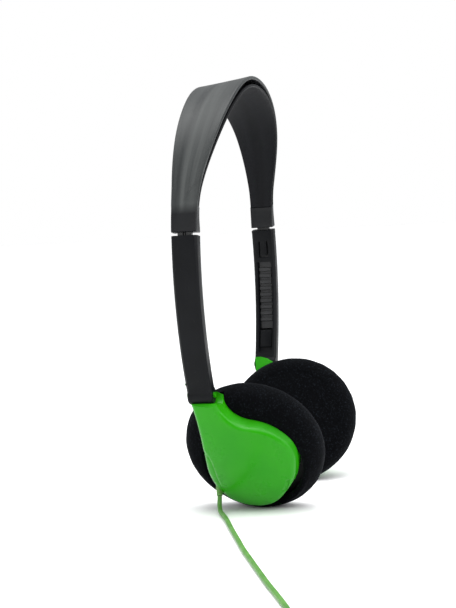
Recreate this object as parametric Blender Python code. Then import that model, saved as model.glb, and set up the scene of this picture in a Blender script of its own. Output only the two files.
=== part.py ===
"""Lightweight on-ear headphones: a two-layer headband, two sliding arms, two tilting foam-padded cups
and one cord that leaves the left cup. X points to the wearer's right, Y to the front, Z up.
The headphones stand on the lower rims of their foam pads, at Z = 0. All sizes below are millimetres.
"""

import math

import bmesh
import bpy
from mathutils import Matrix, Vector

MM = 0.001
GAP = 0.3
X_AXIS = Vector((1, 0, 0))
Y_AXIS = Vector((0, 1, 0))
Z_AXIS = Vector((0, 0, 1))

# Slider arms. Positions along an arm count downwards from its top end.
ARM_TOP = Vector((-67.9, 16.2, 118.0))
ARM_TOP_LEAN = math.radians(7.3)
ARM_RADIUS = 125.0
ARM_WIDTH_TOP = 10.9
ARM_WIDTH_END = 10.5
ARM_THICKNESS = 6.3
ARM_CORNER = 1.0
ARM_OUTER_END = 69.5
WINDOW_SPAN = (16.0, 62.4)
WINDOW_WIDTH = 6.9
LATCH_SPAN = (5.6, 13.4)
LATCH_WIDTH = 4.6
LATCH_SLOT = 0.7
STOP_BLOCK_SPAN = (50.4, 59.0)
STOP_BLOCK_WIDTH = 5.6

# The curved channel that each arm slides along.
SLIDE_RADIUS = 200.0
SLIDE_CONTACTS = (3.0, 47.0)
CHANNEL_HALF = 1.9
CHANNEL_SPAN = (-2.0, 59.6)

# Slider racks, which stick out of the headband's ends into the arms.
RACK_WIDTH = 5.8
RACK_BACK = 1.6
RACK_FACE = -0.6
RIB_FACE = -1.4
RIB_SLOPE = 0.25
RIB_PITCH = 3.1
RIB_HEIGHT = 1.5
RIB_COUNT = 9
FIRST_RIB = 19.0
RACK_TIP = 49.0
RACK_ROOT = -7.6
GROOVE_WIDTH = 1.4
GROOVE_DEPTH = 1.1
WIRE_IN_GROOVE = 1.05

# Tilt pivot at each arm's lower end.
PIVOT_AT = 67.25
KNUCKLE_RADIUS = 3.87
PIN_RADIUS = 0.9
PIN_HALF_LENGTH = 3.8
LUG_RADIUS = 2.5
LUG_WIDTH = 5.0
CHAMBER_RADIUS = 2.85
LIP_SLOPE = math.radians(23)

# Headband: straight for a short way above each arm, then one arc over the head.
BAND_GAP = 1.3
BAND_STRAIGHT = 8.3
CROWN_Z = 181.6
CROWN_Y = 11.2
CROWN_CANT = math.radians(7.0)
BAND_WIDTH_END = 10.8
BAND_WIDTH_CROWN = 24.0
FLARE_START = 5.0
FLARE_LENGTH = 57.0
COVER_THICKNESS = 1.5
STRAP_THICKNESS = 1.3
LAYER_SPACE = 1.3
BLOCK_LENGTH = 10.0
WIRE_RADIUS = 0.4

# Cups. A cup's own axes are U towards the rear, V up along the pad, W outwards from the ear.
PAD_CENTRE = Vector((-38.9, 0.0, 27.8))
CUP_TILT = math.radians(26.3)
CUP_YAW = math.radians(-4.35)
PAD_RADIUS = 31.0
PAD_FRONT = -8.5
PAD_REAR = 7.5
PAD_ROUND = 7.6
PAD_WALL_FRONT = -1.6
SHELL_CENTRE = (0.5, -4.0)
SHELL_RADIUS = 20.8
SHELL_RIM = 1.6
SHELL_SHOULDER = 7.5
SHELL_APEX = 17.3
SHELL_WALL = 1.6
BAFFLE_RADIUS = 24.2
BAFFLE_HALF = 1.3
SCREW_CIRCLE = 17.6
SCREW_ANGLES = (math.radians(-22), math.radians(163))
BOSS_RADIUS = 2.2

# Cord.
CORD_RADIUS = 1.0
GLAND_AT = (-15.9, -15.4, 10.3)
GLAND_AXIS = Vector((0.1, -0.6, 0.79)).normalized()
GLAND_OUT = 3.0
COIL_CENTRE = Vector((-235.1, -49.0, 0.0))
COIL_INNER = 6.8
COIL_OUTER = 15.2
COIL_BASE = 0.75
COIL_HEIGHT = 7.6
PLUG_HEIGHT = 3.6

BLACK_SATIN = (0.018, 0.019, 0.021)
BLACK_STRAP = (0.012, 0.012, 0.013)
GREEN = (0.055, 0.42, 0.03)
GREEN_CORD = (0.09, 0.32, 0.05)
FOAM = (0.008, 0.008, 0.009)
STEEL = (0.55, 0.55, 0.56)
WHITE_FILM = (0.75, 0.75, 0.7)
COPPER = (0.6, 0.25, 0.12)
BOARD_GREEN = (0.02, 0.12, 0.05)
GREY_FELT = (0.2, 0.2, 0.2)


def material(name, colour, roughness, metallic=0.0):
    found = bpy.data.materials.get(name)
    if found:
        return found
    made = bpy.data.materials.new(name)
    made.use_nodes = True
    shader = made.node_tree.nodes["Principled BSDF"]
    shader.inputs["Base Color"].default_value = (*colour, 1.0)
    shader.inputs["Roughness"].default_value = roughness
    shader.inputs["Metallic"].default_value = metallic
    return made


def finish_mesh(name, bm, parent=None, hidden=False):
    """Turns a millimetre bmesh into an object in metres, on its parent when it has one."""
    bmesh.ops.recalc_face_normals(bm, faces=bm.faces)
    if bm.calc_volume(signed=True) < 0:
        bmesh.ops.reverse_faces(bm, faces=bm.faces)
    origin = parent.location if parent else Vector((0, 0, 0))
    bmesh.ops.scale(bm, vec=(MM, MM, MM), verts=bm.verts)
    bmesh.ops.translate(bm, vec=-origin, verts=bm.verts)
    mesh = bpy.data.meshes.new(name)
    bm.to_mesh(mesh)
    bm.free()
    obj = bpy.data.objects.new(name, mesh)
    bpy.context.scene.collection.objects.link(obj)
    obj.parent = parent
    if hidden:
        obj.hide_render = True
        obj.display_type = "WIRE"
    return obj


def dress(obj, finish, smooth=True):
    obj.data.materials.append(finish)
    if smooth:
        obj.data.shade_smooth()
        obj.data.set_sharp_from_angle(angle=math.radians(35))
    return obj


def cut(obj, cutter, operation="DIFFERENCE"):
    step = obj.modifiers.new(f"{operation.lower()}_{cutter.name}", "BOOLEAN")
    step.operation = operation
    step.object = cutter
    step.solver = "EXACT"


def mirrored(bm, side):
    """Everything is drawn for the left, and side +1 mirrors it to the right."""
    if side > 0:
        bmesh.ops.scale(bm, vec=(-1, 1, 1), verts=bm.verts)
        bmesh.ops.reverse_faces(bm, faces=bm.faces)
    return bm


def rounded_rectangle(low, high, half_width, corner):
    """Eight points of a section: first coordinate across the thickness, second across the width."""
    points = []
    corners = (
        (high, half_width, 0),
        (low, half_width, 90),
        (low, -half_width, 180),
        (high, -half_width, 270),
    )
    for x, y, start in corners:
        centre_x = x - math.copysign(corner, x - (low + high) / 2)
        centre_y = y - math.copysign(corner, y)
        for angle in (math.radians(start), math.radians(start + 90)):
            points.append((centre_x + corner * math.cos(angle), centre_y + corner * math.sin(angle)))
    return points


def loft(rings):
    """A closed body through rings with equal numbers of points."""
    bm = bmesh.new()
    loops = [[bm.verts.new(point) for point in ring] for ring in rings]
    count = len(rings[0])
    for near, far in zip(loops, loops[1:]):
        for i in range(count):
            j = (i + 1) % count
            bm.faces.new((near[i], near[j], far[j], far[i]))
    bm.faces.new(loops[0])
    bm.faces.new(reversed(loops[-1]))
    return bm


def turned(profile, frame, segments=32):
    """Spins a closed outline of (radius, height) points round the frame's Z axis."""
    bm = bmesh.new()
    verts = [bm.verts.new((radius, 0, height)) for radius, height in profile]
    edges = [bm.edges.new((verts[i], verts[(i + 1) % len(verts)])) for i in range(len(verts))]
    bmesh.ops.spin(
        bm,
        geom=verts + edges,
        cent=(0, 0, 0),
        axis=(0, 0, 1),
        angle=2 * math.pi,
        steps=segments,
        use_merge=True,
    )
    bmesh.ops.remove_doubles(bm, verts=bm.verts, dist=1e-5)
    axis_edges = [edge for edge in bm.edges if not edge.link_faces]
    bmesh.ops.delete(bm, geom=axis_edges, context="EDGES")
    bmesh.ops.dissolve_degenerate(bm, dist=1e-6, edges=bm.edges)
    bmesh.ops.transform(bm, matrix=frame, verts=bm.verts)
    return bm


def cylinder(radius, low, high, frame, segments=24):
    return turned([(0, low), (radius, low), (radius, high), (0, high)], frame, segments)


def box(low, high, frame):
    bm = bmesh.new()
    bmesh.ops.create_cube(bm, size=1.0)
    size = Vector(high) - Vector(low)
    bmesh.ops.scale(bm, vec=size, verts=bm.verts)
    bmesh.ops.translate(bm, vec=(Vector(low) + Vector(high)) / 2, verts=bm.verts)
    bmesh.ops.transform(bm, matrix=frame, verts=bm.verts)
    return bm


def axes_frame(origin, x, y, z):
    matrix = Matrix((x, y, z)).transposed().to_4x4()
    matrix.translation = origin
    return matrix


def smoothstep(t):
    t = min(max(t, 0.0), 1.0)
    return t * t * (3 - 2 * t)


# ---- Arm and slide geometry, for the left side ----

ARM_CENTRE = ARM_TOP + ARM_RADIUS * Vector((math.cos(ARM_TOP_LEAN), 0, -math.sin(ARM_TOP_LEAN)))


def arm_frame(along):
    """Frame on the arm's centre line: X away from the head, Y forward, Z down along the arm."""
    angle = ARM_TOP_LEAN - along / ARM_RADIUS
    outward = Vector((-math.cos(angle), 0, math.sin(angle)))
    return axes_frame(ARM_CENTRE + ARM_RADIUS * outward, outward, Y_AXIS, outward.cross(Y_AXIS))


def arm_width(along):
    return ARM_WIDTH_TOP + (ARM_WIDTH_END - ARM_WIDTH_TOP) * max(along, 0) / ARM_OUTER_END


CONTACTS = [arm_frame(along).translation for along in SLIDE_CONTACTS]
CHORD = CONTACTS[1] - CONTACTS[0]
INWARD = CHORD.cross(Y_AXIS).normalized() * (-1 if CHORD.cross(Y_AXIS).x < 0 else 1)
SLIDE_RISE = math.sqrt(SLIDE_RADIUS**2 - (CHORD.length / 2) ** 2)
SLIDE_CENTRE = (CONTACTS[0] + CONTACTS[1]) / 2 + INWARD * SLIDE_RISE
TOP_OFFSET = ARM_TOP - SLIDE_CENTRE
SLIDE_TOP_ANGLE = math.atan2(TOP_OFFSET.z, -TOP_OFFSET.x)


def slide_frame(along):
    angle = SLIDE_TOP_ANGLE - along / SLIDE_RADIUS
    outward = Vector((-math.cos(angle), 0, math.sin(angle)))
    origin = SLIDE_CENTRE + SLIDE_RADIUS * outward
    return axes_frame(origin, outward, Y_AXIS, outward.cross(Y_AXIS))


def swept(frame_at, span, steps, section_at):
    """Lofts section_at(along) along frames from span[0] to span[1]."""
    rings = []
    for step in range(steps + 1):
        along = span[0] + (span[1] - span[0]) * step / steps
        frame = frame_at(along)
        rings.append([frame @ Vector((x, y, 0)) for x, y in section_at(along)])
    return loft(rings)


def plain_section(low, high, half_width):
    points = [(high, half_width), (low, half_width), (low, -half_width), (high, -half_width)]
    return lambda along: points


def prism(outline, low, high, frame):
    """An outline of (width, height) points on the frame's Y and Z axes, extruded along its X axis."""
    near = [frame @ Vector((low, y, z)) for y, z in outline]
    far = [frame @ Vector((high, y, z)) for y, z in outline]
    return loft([near, far])


PIVOT = arm_frame(PIVOT_AT)
PIVOT_FRAME = axes_frame(PIVOT.translation, PIVOT.col[0].to_3d(), PIVOT.col[2].to_3d(), -Y_AXIS)


# ---- Headband geometry ----

BAND_BASE = ARM_TOP + BAND_GAP * Vector((math.sin(ARM_TOP_LEAN), 0, math.cos(ARM_TOP_LEAN)))
BEND_START = BAND_BASE + BAND_STRAIGHT * Vector((math.sin(ARM_TOP_LEAN), 0, math.cos(ARM_TOP_LEAN)))
BAND_RADIUS = -BEND_START.x / math.cos(ARM_TOP_LEAN)
BAND_CENTRE_Z = BEND_START.z - BAND_RADIUS * math.sin(ARM_TOP_LEAN)
CROWN_LIFT = CROWN_Z - (BAND_CENTRE_Z + BAND_RADIUS)
ARC_LENGTH = BAND_RADIUS * (math.pi / 2 - ARM_TOP_LEAN)
HALF_BAND = BAND_STRAIGHT + ARC_LENGTH


def band_frame(along):
    """along runs from -HALF_BAND at the left end, through 0 at the crown, to HALF_BAND at the right end."""
    side = 1 if along > 0 else -1
    up = HALF_BAND - abs(along)
    lift = smoothstep((up - BAND_STRAIGHT) / ARC_LENGTH)
    if up < BAND_STRAIGHT:
        angle = ARM_TOP_LEAN
        centre = BAND_BASE + up * Vector((math.sin(angle), 0, math.cos(angle)))
    else:
        angle = ARM_TOP_LEAN + (up - BAND_STRAIGHT) / BAND_RADIUS
        centre = Vector((-BAND_RADIUS * math.cos(angle), 0, BAND_CENTRE_Z + BAND_RADIUS * math.sin(angle)))
    centre.z += CROWN_LIFT * lift
    flare = smoothstep((centre.z - ARM_TOP.z - FLARE_START) / FLARE_LENGTH)
    centre.y = ARM_TOP.y + (CROWN_Y - ARM_TOP.y) * flare
    outward = Vector((-math.cos(angle), 0, math.sin(angle)))
    cant = CROWN_CANT * flare
    normal = outward * math.cos(cant) + Y_AXIS * math.sin(cant)
    across = Y_AXIS * math.cos(cant) - outward * math.sin(cant)
    if side > 0:
        centre.x = -centre.x
        normal.x = -normal.x
        across.x = -across.x
    return axes_frame(centre, normal, across, normal.cross(across))


def band_width(along):
    height = band_frame(along).translation.z - ARM_TOP.z
    flare = smoothstep((height - FLARE_START) / FLARE_LENGTH)
    return BAND_WIDTH_END + (BAND_WIDTH_CROWN - BAND_WIDTH_END) * flare


def layer(name, low, high, reach, narrower, finish, parent):
    """One layer of the band, reach millimetres to each side of the crown."""
    def section(along):
        return rounded_rectangle(low, high, band_width(along) / 2 - narrower, 0.45)

    bm = swept(band_frame, (-reach, reach), 38, section)
    return dress(finish_mesh(name, bm, parent), finish)


# ---- Cup geometry, for the left side ----

EAR_NORMAL = Vector(
    (
        math.cos(CUP_TILT) * math.cos(CUP_YAW),
        math.cos(CUP_TILT) * math.sin(CUP_YAW),
        math.sin(CUP_TILT),
    )
)
CUP_W = -EAR_NORMAL
CUP_V = (Z_AXIS - EAR_NORMAL * EAR_NORMAL.z).normalized()
CUP_U = CUP_V.cross(CUP_W)
CUP_FRAME = axes_frame(PAD_CENTRE, CUP_U, CUP_V, CUP_W)
BODY_FRAME = CUP_FRAME @ Matrix.Translation((*SHELL_CENTRE, 0))


def dome(radius, rim, shoulder, apex):
    """A turned outline: straight wall up to the shoulder, then a quarter ellipse to the apex."""
    profile = [(0, rim), (radius, rim)]
    for step in range(7):
        angle = math.pi / 2 * step / 6
        profile.append((radius * math.cos(angle), shoulder + (apex - shoulder) * math.sin(angle)))
    profile[-1] = (0, apex)
    return profile


def neck_ring(v, left, right, low, high, power=0.62):
    """A rounded section of the shell's neck, across the cup's U and W axes."""
    points = []
    for step in range(16):
        angle = 2 * math.pi * step / 16
        across = math.copysign(abs(math.cos(angle)) ** power, math.cos(angle))
        out = math.copysign(abs(math.sin(angle)) ** power, math.sin(angle))
        u = (left + right) / 2 + (right - left) / 2 * across
        w = (low + high) / 2 + (high - low) / 2 * out
        points.append(CUP_FRAME @ Vector((u, v, w)))
    return points


def at_angle(radius, angle):
    return Vector((radius * math.cos(angle), radius * math.sin(angle), 0))


# ---- Headband pieces ----


def hidden_cutter(name, bm, parent, side=-1):
    return finish_mesh(name, mirrored(bm, side), parent, hidden=True)


def rack_section(face):
    """A strip with a groove for the crossover wire along its outer side."""
    half = RACK_WIDTH / 2
    slot = GROOVE_WIDTH / 2
    floor = RACK_BACK - GROOVE_DEPTH
    return [
        (RACK_BACK, half), (face, half), (face, -half), (RACK_BACK, -half),
        (RACK_BACK, -slot), (floor, -slot), (floor, slot), (RACK_BACK, slot),
    ]


def make_rack(side, prefix, parent):
    """A curved strip with a row of detent ribs on the side that faces the head."""
    stations = [(RACK_ROOT, RACK_FACE), (-2.0, RACK_FACE), (6.0, RACK_FACE), (13.0, RACK_FACE)]
    for rib in range(RIB_COUNT):
        start = FIRST_RIB + RIB_PITCH * rib
        end = start + RIB_HEIGHT
        stations += [(start - RIB_SLOPE, RACK_FACE), (start, RIB_FACE)]
        stations += [(end, RIB_FACE), (end + RIB_SLOPE, RACK_FACE)]
    stations.append((RACK_TIP, RACK_FACE))
    rings = []
    for along, face in stations:
        frame = slide_frame(along)
        rings.append([frame @ Vector((x, y, 0)) for x, y in rack_section(face)])
    bm = mirrored(loft(rings), side)
    finish = material("black_rack", BLACK_STRAP, 0.5)
    return dress(finish_mesh(f"{prefix}_rack", bm, parent), finish, False)


def make_cover(parent):
    """The outer layer, with a solid block at each end that carries the rack."""
    finish = material("grey_black_cover", BLACK_SATIN, 0.42)
    low = LAYER_SPACE / 2
    cover = layer("headband_cover", low, low + COVER_THICKNESS, HALF_BAND, 0.0, finish, parent)
    strap_face = -low - STRAP_THICKNESS
    for side, prefix in ((-1, "left"), (1, "right")):
        rings = []
        for step in range(7):
            up = BLOCK_LENGTH * step / 6
            blend = smoothstep(step / 6)
            frame = band_frame(-HALF_BAND + up)
            inner = -ARM_THICKNESS / 2 * (1 - blend) + strap_face * blend
            outer = ARM_THICKNESS / 2 * (1 - blend) + (low + COVER_THICKNESS + 0.08) * blend
            width = band_width(-HALF_BAND + up) / 2 + 0.05
            section = rounded_rectangle(inner, outer, width, 0.9 - 0.4 * blend)
            start = frame.translation - frame.col[2].to_3d() * 0.05 * (step == 0)
            frame.translation = start
            rings.append([frame @ Vector((x, y, 0)) for x, y in section])
        cut(cover, hidden_cutter(f"{prefix}_end_block", loft(rings), parent, side), "UNION")
        fit = plain_section(-0.95, 1.95, RACK_WIDTH / 2 + GAP)
        socket = swept(slide_frame, (RACK_ROOT - GAP, 2.0), 6, fit)
        cut(cover, hidden_cutter(f"{prefix}_socket", socket, parent, side))

        def wire_frame(up):
            return band_frame(up - HALF_BAND)

        def passage_section(up):
            return plain_section(-0.6, 1.95 if up < 7.9 else 1.5, 0.8)(up)

        passage = swept(wire_frame, (5.0, BLOCK_LENGTH + 2.2), 5, passage_section)
        cut(cover, hidden_cutter(f"{prefix}_wire_passage", passage, parent, side))
    return cover


def make_strap(parent):
    low = LAYER_SPACE / 2
    reach = HALF_BAND - BLOCK_LENGTH - 0.5
    finish = material("black_strap", BLACK_STRAP, 0.45)
    return layer("headband_strap", -low - STRAP_THICKNESS, -low, reach, 0.3, finish, parent)


def tube(name, points, radius, resolution, finish):
    """A round cord through the given points, in metres, with closed ends."""
    curve = bpy.data.curves.new(name, "CURVE")
    curve.dimensions = "3D"
    curve.bevel_depth = radius * MM
    curve.bevel_resolution = resolution
    curve.use_fill_caps = True
    spline = curve.splines.new("POLY")
    spline.points.add(len(points) - 1)
    for slot, point in zip(spline.points, points):
        slot.co = (*(point * MM), 1.0)
    obj = bpy.data.objects.new(name, curve)
    bpy.context.scene.collection.objects.link(obj)
    curve.materials.append(finish)
    return obj


def make_crossover_wire():
    """The wire to the right cup: out of one rack's groove, between the layers, into the other."""
    half = []
    for step in range(9):
        along = RACK_TIP - 1.0 - (RACK_TIP - 1.0 + 7.4) * step / 8
        half.append(slide_frame(along) @ Vector((WIRE_IN_GROOVE, 0, 0)))
    for up, offset in ((7.5, 1.2), (8.8, 0.7), (10.2, 0.25), (11.8, 0.0)):
        half.append(band_frame(up - HALF_BAND) @ Vector((offset, 0, 0)))
    for step in range(14):
        up = 14.0 + (HALF_BAND - 14.0) * step / 14
        half.append(band_frame(up - HALF_BAND) @ Vector((0, 0, 0)))
    other = [Vector((-point.x, point.y, point.z)) for point in reversed(half)]
    points = half + [band_frame(0.0).translation] + other
    return tube("crossover_wire", points, WIRE_RADIUS, 1, material("black_wire", BLACK_STRAP, 0.6))


# ---- Arm pieces ----


def make_arm(side, prefix, parent):
    """A channel that slides on the rack, with a window, a latch tongue and a pivot knuckle."""
    half = ARM_THICKNESS / 2

    def section(along):
        return rounded_rectangle(-half, half, arm_width(along) / 2, ARM_CORNER)

    bar = swept(arm_frame, (0, PIVOT_AT - 1.5), 14, section)
    arm = finish_mesh(f"{prefix}_arm", mirrored(bar, side), parent)
    reach = arm_width(PIVOT_AT) / 2 - 0.02
    edge = KNUCKLE_RADIUS - 0.5
    knuckle_profile = [
        (0, -reach), (edge, -reach), (KNUCKLE_RADIUS, -reach + 0.5),
        (KNUCKLE_RADIUS, reach - 0.5), (edge, reach), (0, reach),
    ]
    knuckle = turned(knuckle_profile, PIVOT_FRAME, 24)
    cut(arm, hidden_cutter(f"{prefix}_knuckle", knuckle, parent, side), "UNION")
    bore = plain_section(-CHANNEL_HALF, CHANNEL_HALF, RACK_WIDTH / 2 + GAP)
    channel = swept(slide_frame, CHANNEL_SPAN, 10, bore)
    cut(arm, hidden_cutter(f"{prefix}_channel", channel, parent, side))
    window = swept(arm_frame, WINDOW_SPAN, 9, plain_section(-half - 1, -1.4, WINDOW_WIDTH / 2))
    cut(arm, hidden_cutter(f"{prefix}_window", window, parent, side))
    outer = LATCH_WIDTH / 2
    inner = outer - LATCH_SLOT
    height = (LATCH_SPAN[1] - LATCH_SPAN[0]) / 2
    foot = height - LATCH_SLOT
    latch_slot = [
        (-outer, -height), (-outer, height), (outer, height), (outer, -height),
        (inner, -height), (inner, foot), (-inner, foot), (-inner, -height),
    ]
    latch = prism(latch_slot, -half - 1, -1.0, arm_frame(sum(LATCH_SPAN) / 2))
    cut(arm, hidden_cutter(f"{prefix}_latch_slot", latch, parent, side))
    block = swept(arm_frame, STOP_BLOCK_SPAN, 3, plain_section(-2.3, 2.3, STOP_BLOCK_WIDTH / 2))
    cut(arm, hidden_cutter(f"{prefix}_stop_block", block, parent, side), "UNION")
    chamber = cylinder(CHAMBER_RADIUS, -LUG_WIDTH / 2 - GAP, LUG_WIDTH / 2 + GAP, PIVOT_FRAME, 20)
    cut(arm, hidden_cutter(f"{prefix}_chamber", chamber, parent, side))
    mouth_half = LUG_WIDTH / 2 + GAP + 0.02
    mouth = box((-1.85, 0.0, -mouth_half), (2.6, 6.0, mouth_half), PIVOT_FRAME)
    cut(arm, hidden_cutter(f"{prefix}_mouth", mouth, parent, side))
    hole = cylinder(PIN_RADIUS + GAP, -PIN_HALF_LENGTH - GAP, PIN_HALF_LENGTH + GAP, PIVOT_FRAME, 12)
    cut(arm, hidden_cutter(f"{prefix}_pin_hole", hole, parent, side))
    return dress(arm, material("black_arm", BLACK_SATIN, 0.38))


def make_pin(side, prefix, parent):
    bm = cylinder(PIN_RADIUS, -PIN_HALF_LENGTH, PIN_HALF_LENGTH, PIVOT_FRAME, 16)
    pin = finish_mesh(f"{prefix}_pivot_pin", mirrored(bm, side), parent)
    return dress(pin, material("steel", STEEL, 0.3, 1.0))


# ---- Cup pieces ----


def neck():
    """Rounded sections from just under the knuckle down into the dome."""
    pivot = CUP_FRAME.inverted() @ PIVOT.translation
    wide = ARM_WIDTH_END / 2 + 0.15
    top = pivot.y + 2.6
    left = pivot.x - wide
    rings = (
        (top, left, pivot.x + wide, pivot.z - 4.9, pivot.z + 4.2),
        (top - 5.0, left, pivot.x + wide + 0.4, pivot.z - 5.0, pivot.z + 4.5),
        (top - 10.5, left + 0.1, pivot.x + wide + 2.6, pivot.z - 5.2, pivot.z + 5.2),
        (top - 15.0, left + 0.3, pivot.x + wide + 7.2, pivot.z - 5.6, pivot.z + 5.9),
        (top - 19.5, left + 0.8, pivot.x + wide + 14.0, pivot.z - 5.8, pivot.z + 6.0),
        (top - 30.0, left + 2.4, pivot.x + wide + 15.0, pivot.z - 5.8, pivot.z + 5.0),
    )
    return loft([neck_ring(*ring) for ring in rings])


def make_shell(side, prefix, parent):
    """The outer cover: a dome with a neck that ends in a trough round the arm's knuckle."""
    solid = turned(dome(SHELL_RADIUS, SHELL_RIM, SHELL_SHOULDER, SHELL_APEX), BODY_FRAME, 36)
    shell = finish_mesh(f"{prefix}_shell", mirrored(solid, side), parent)
    cut(shell, hidden_cutter(f"{prefix}_neck", neck(), parent, side), "UNION")
    inside = dome(SHELL_RADIUS - SHELL_WALL, SHELL_RIM - 8.0, SHELL_SHOULDER, SHELL_APEX - SHELL_WALL)
    cut(shell, hidden_cutter(f"{prefix}_hollow", turned(inside, BODY_FRAME, 24), parent, side))
    lip_line = PIVOT_FRAME @ Matrix.Translation((-0.35, 0.2, 0)) @ Matrix.Rotation(LIP_SLOPE, 4, "Z")
    above_lips = box((-14, -14, -9), (14, 0, 9), lip_line)
    cut(shell, hidden_cutter(f"{prefix}_above_lips", above_lips, parent, side))
    trough = cylinder(KNUCKLE_RADIUS + 0.33, -9.0, 9.0, PIVOT_FRAME, 24)
    cut(shell, hidden_cutter(f"{prefix}_trough", trough, parent, side))
    lug_half = LUG_WIDTH / 2
    lug_outline = [(-lug_half, 0.0), (lug_half, 0.0), (lug_half, 7.0), (-lug_half, 7.0)]
    stem_frame = axes_frame(PIVOT.translation, PIVOT.col[0].to_3d(), Y_AXIS, PIVOT.col[2].to_3d())
    stem = prism(lug_outline, -1.2, 1.2, stem_frame)
    cut(shell, hidden_cutter(f"{prefix}_lug_stem", stem, parent, side), "UNION")
    head = cylinder(LUG_RADIUS, -LUG_WIDTH / 2 + 0.01, LUG_WIDTH / 2 - 0.01, PIVOT_FRAME, 20)
    cut(shell, hidden_cutter(f"{prefix}_lug_head", head, parent, side), "UNION")
    eye = cylinder(PIN_RADIUS + GAP, -6.0, 6.0, PIVOT_FRAME, 12)
    cut(shell, hidden_cutter(f"{prefix}_lug_eye", eye, parent, side))
    for number, angle in enumerate(SCREW_ANGLES, 1):
        frame = BODY_FRAME @ Matrix.Translation(at_angle(SCREW_CIRCLE, angle))
        boss = cylinder(BOSS_RADIUS, SHELL_RIM + 0.02, SHELL_SHOULDER + 1.6, frame, 12)
        cut(shell, hidden_cutter(f"{prefix}_boss_{number}", boss, parent, side), "UNION")
        bore = cylinder(1.15, 0.0, SHELL_SHOULDER + 0.4, frame, 10)
        cut(shell, hidden_cutter(f"{prefix}_boss_bore_{number}", bore, parent, side))
    if side < 0:
        outlet = cylinder(1.9 + GAP, -3.2, 6.0, gland_frame(), 16)
        cut(shell, hidden_cutter("left_cord_outlet", outlet, parent, side))
    return dress(shell, material("green_shell", GREEN, 0.35))


def make_baffle(side, prefix, parent):
    """The plate between the driver and the foam, with countersunk screw holes and sound holes."""
    profile = [
        (0, -BAFFLE_HALF), (BAFFLE_RADIUS - 0.8, -BAFFLE_HALF), (BAFFLE_RADIUS, -BAFFLE_HALF + 0.8),
        (BAFFLE_RADIUS, BAFFLE_HALF), (0, BAFFLE_HALF),
    ]
    plate = finish_mesh(f"{prefix}_baffle", mirrored(turned(profile, BODY_FRAME, 28), side), parent)
    spots = [Vector((0, 0, 0))] + [at_angle(7.0, math.radians(90 * step)) for step in range(4)]
    for number, spot in enumerate(spots, 1):
        hole = cylinder(2.0, -4.0, 4.0, BODY_FRAME @ Matrix.Translation(spot), 10)
        cut(plate, hidden_cutter(f"{prefix}_sound_hole_{number}", hole, parent, side))
    for number, angle in enumerate(SCREW_ANGLES, 1):
        frame = BODY_FRAME @ Matrix.Translation(at_angle(SCREW_CIRCLE, angle))
        stepped = [(0, -4.0), (2.5, -4.0), (2.5, 0.1), (1.15, 0.1), (1.15, 4.0), (0, 4.0)]
        cut(plate, hidden_cutter(f"{prefix}_screw_hole_{number}", turned(stepped, frame, 12), parent, side))
    return dress(plate, material("black_baffle", BLACK_STRAP, 0.5))


def make_screw(side, prefix, number, parent):
    frame = BODY_FRAME @ Matrix.Translation(at_angle(SCREW_CIRCLE, SCREW_ANGLES[number - 1]))
    profile = [
        (0, -1.25), (1.6, -1.25), (2.15, -0.9), (2.15, -0.2), (0.85, -0.2), (0.85, 7.2), (0, 7.6),
    ]
    bm = turned(profile, frame, 12)
    name = f"{prefix}_screw_{number}"
    return dress(finish_mesh(name, mirrored(bm, side), parent), material("steel", STEEL, 0.3, 1.0))


def make_pad(side, prefix, parent):
    """A foam bun, closed towards the ear, with a pocket behind that grips the baffle's rim."""
    profile = [(0, PAD_FRONT)]
    for height, start in ((PAD_FRONT + PAD_ROUND, -90), (PAD_REAR - PAD_ROUND, 0)):
        for step in range(6):
            angle = math.radians(start + 18 * step)
            radius = PAD_RADIUS - PAD_ROUND + PAD_ROUND * math.cos(angle)
            profile.append((radius, height + PAD_ROUND * math.sin(angle)))
    profile.append((0, PAD_REAR))
    pad = finish_mesh(f"{prefix}_foam_pad", mirrored(turned(profile, CUP_FRAME, 32), side), parent)
    groove = BAFFLE_RADIUS + GAP
    lip = SHELL_RADIUS + GAP + 0.1
    pocket = [
        (0, PAD_WALL_FRONT), (groove, PAD_WALL_FRONT), (groove, BAFFLE_HALF + GAP),
        (lip, BAFFLE_HALF + GAP), (lip, PAD_REAR + 4), (0, PAD_REAR + 4),
    ]
    cut(pad, hidden_cutter(f"{prefix}_pocket", turned(pocket, BODY_FRAME, 28), parent, side))
    pivot = CUP_FRAME.inverted() @ PIVOT.translation
    low = (pivot.x - 6.2, 4.0, pivot.z - 6.3)
    notch = box(low, (pivot.x + 18.0, 40.0, PAD_REAR + 9), CUP_FRAME)
    cut(pad, hidden_cutter(f"{prefix}_neck_notch", notch, parent, side))
    floor = box((-120, -60, -30), (0, 60, 0), Matrix.Identity(4))
    cut(pad, hidden_cutter(f"{prefix}_floor", floor, parent, side))
    return dress(pad, material("black_foam", FOAM, 1.0))


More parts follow.
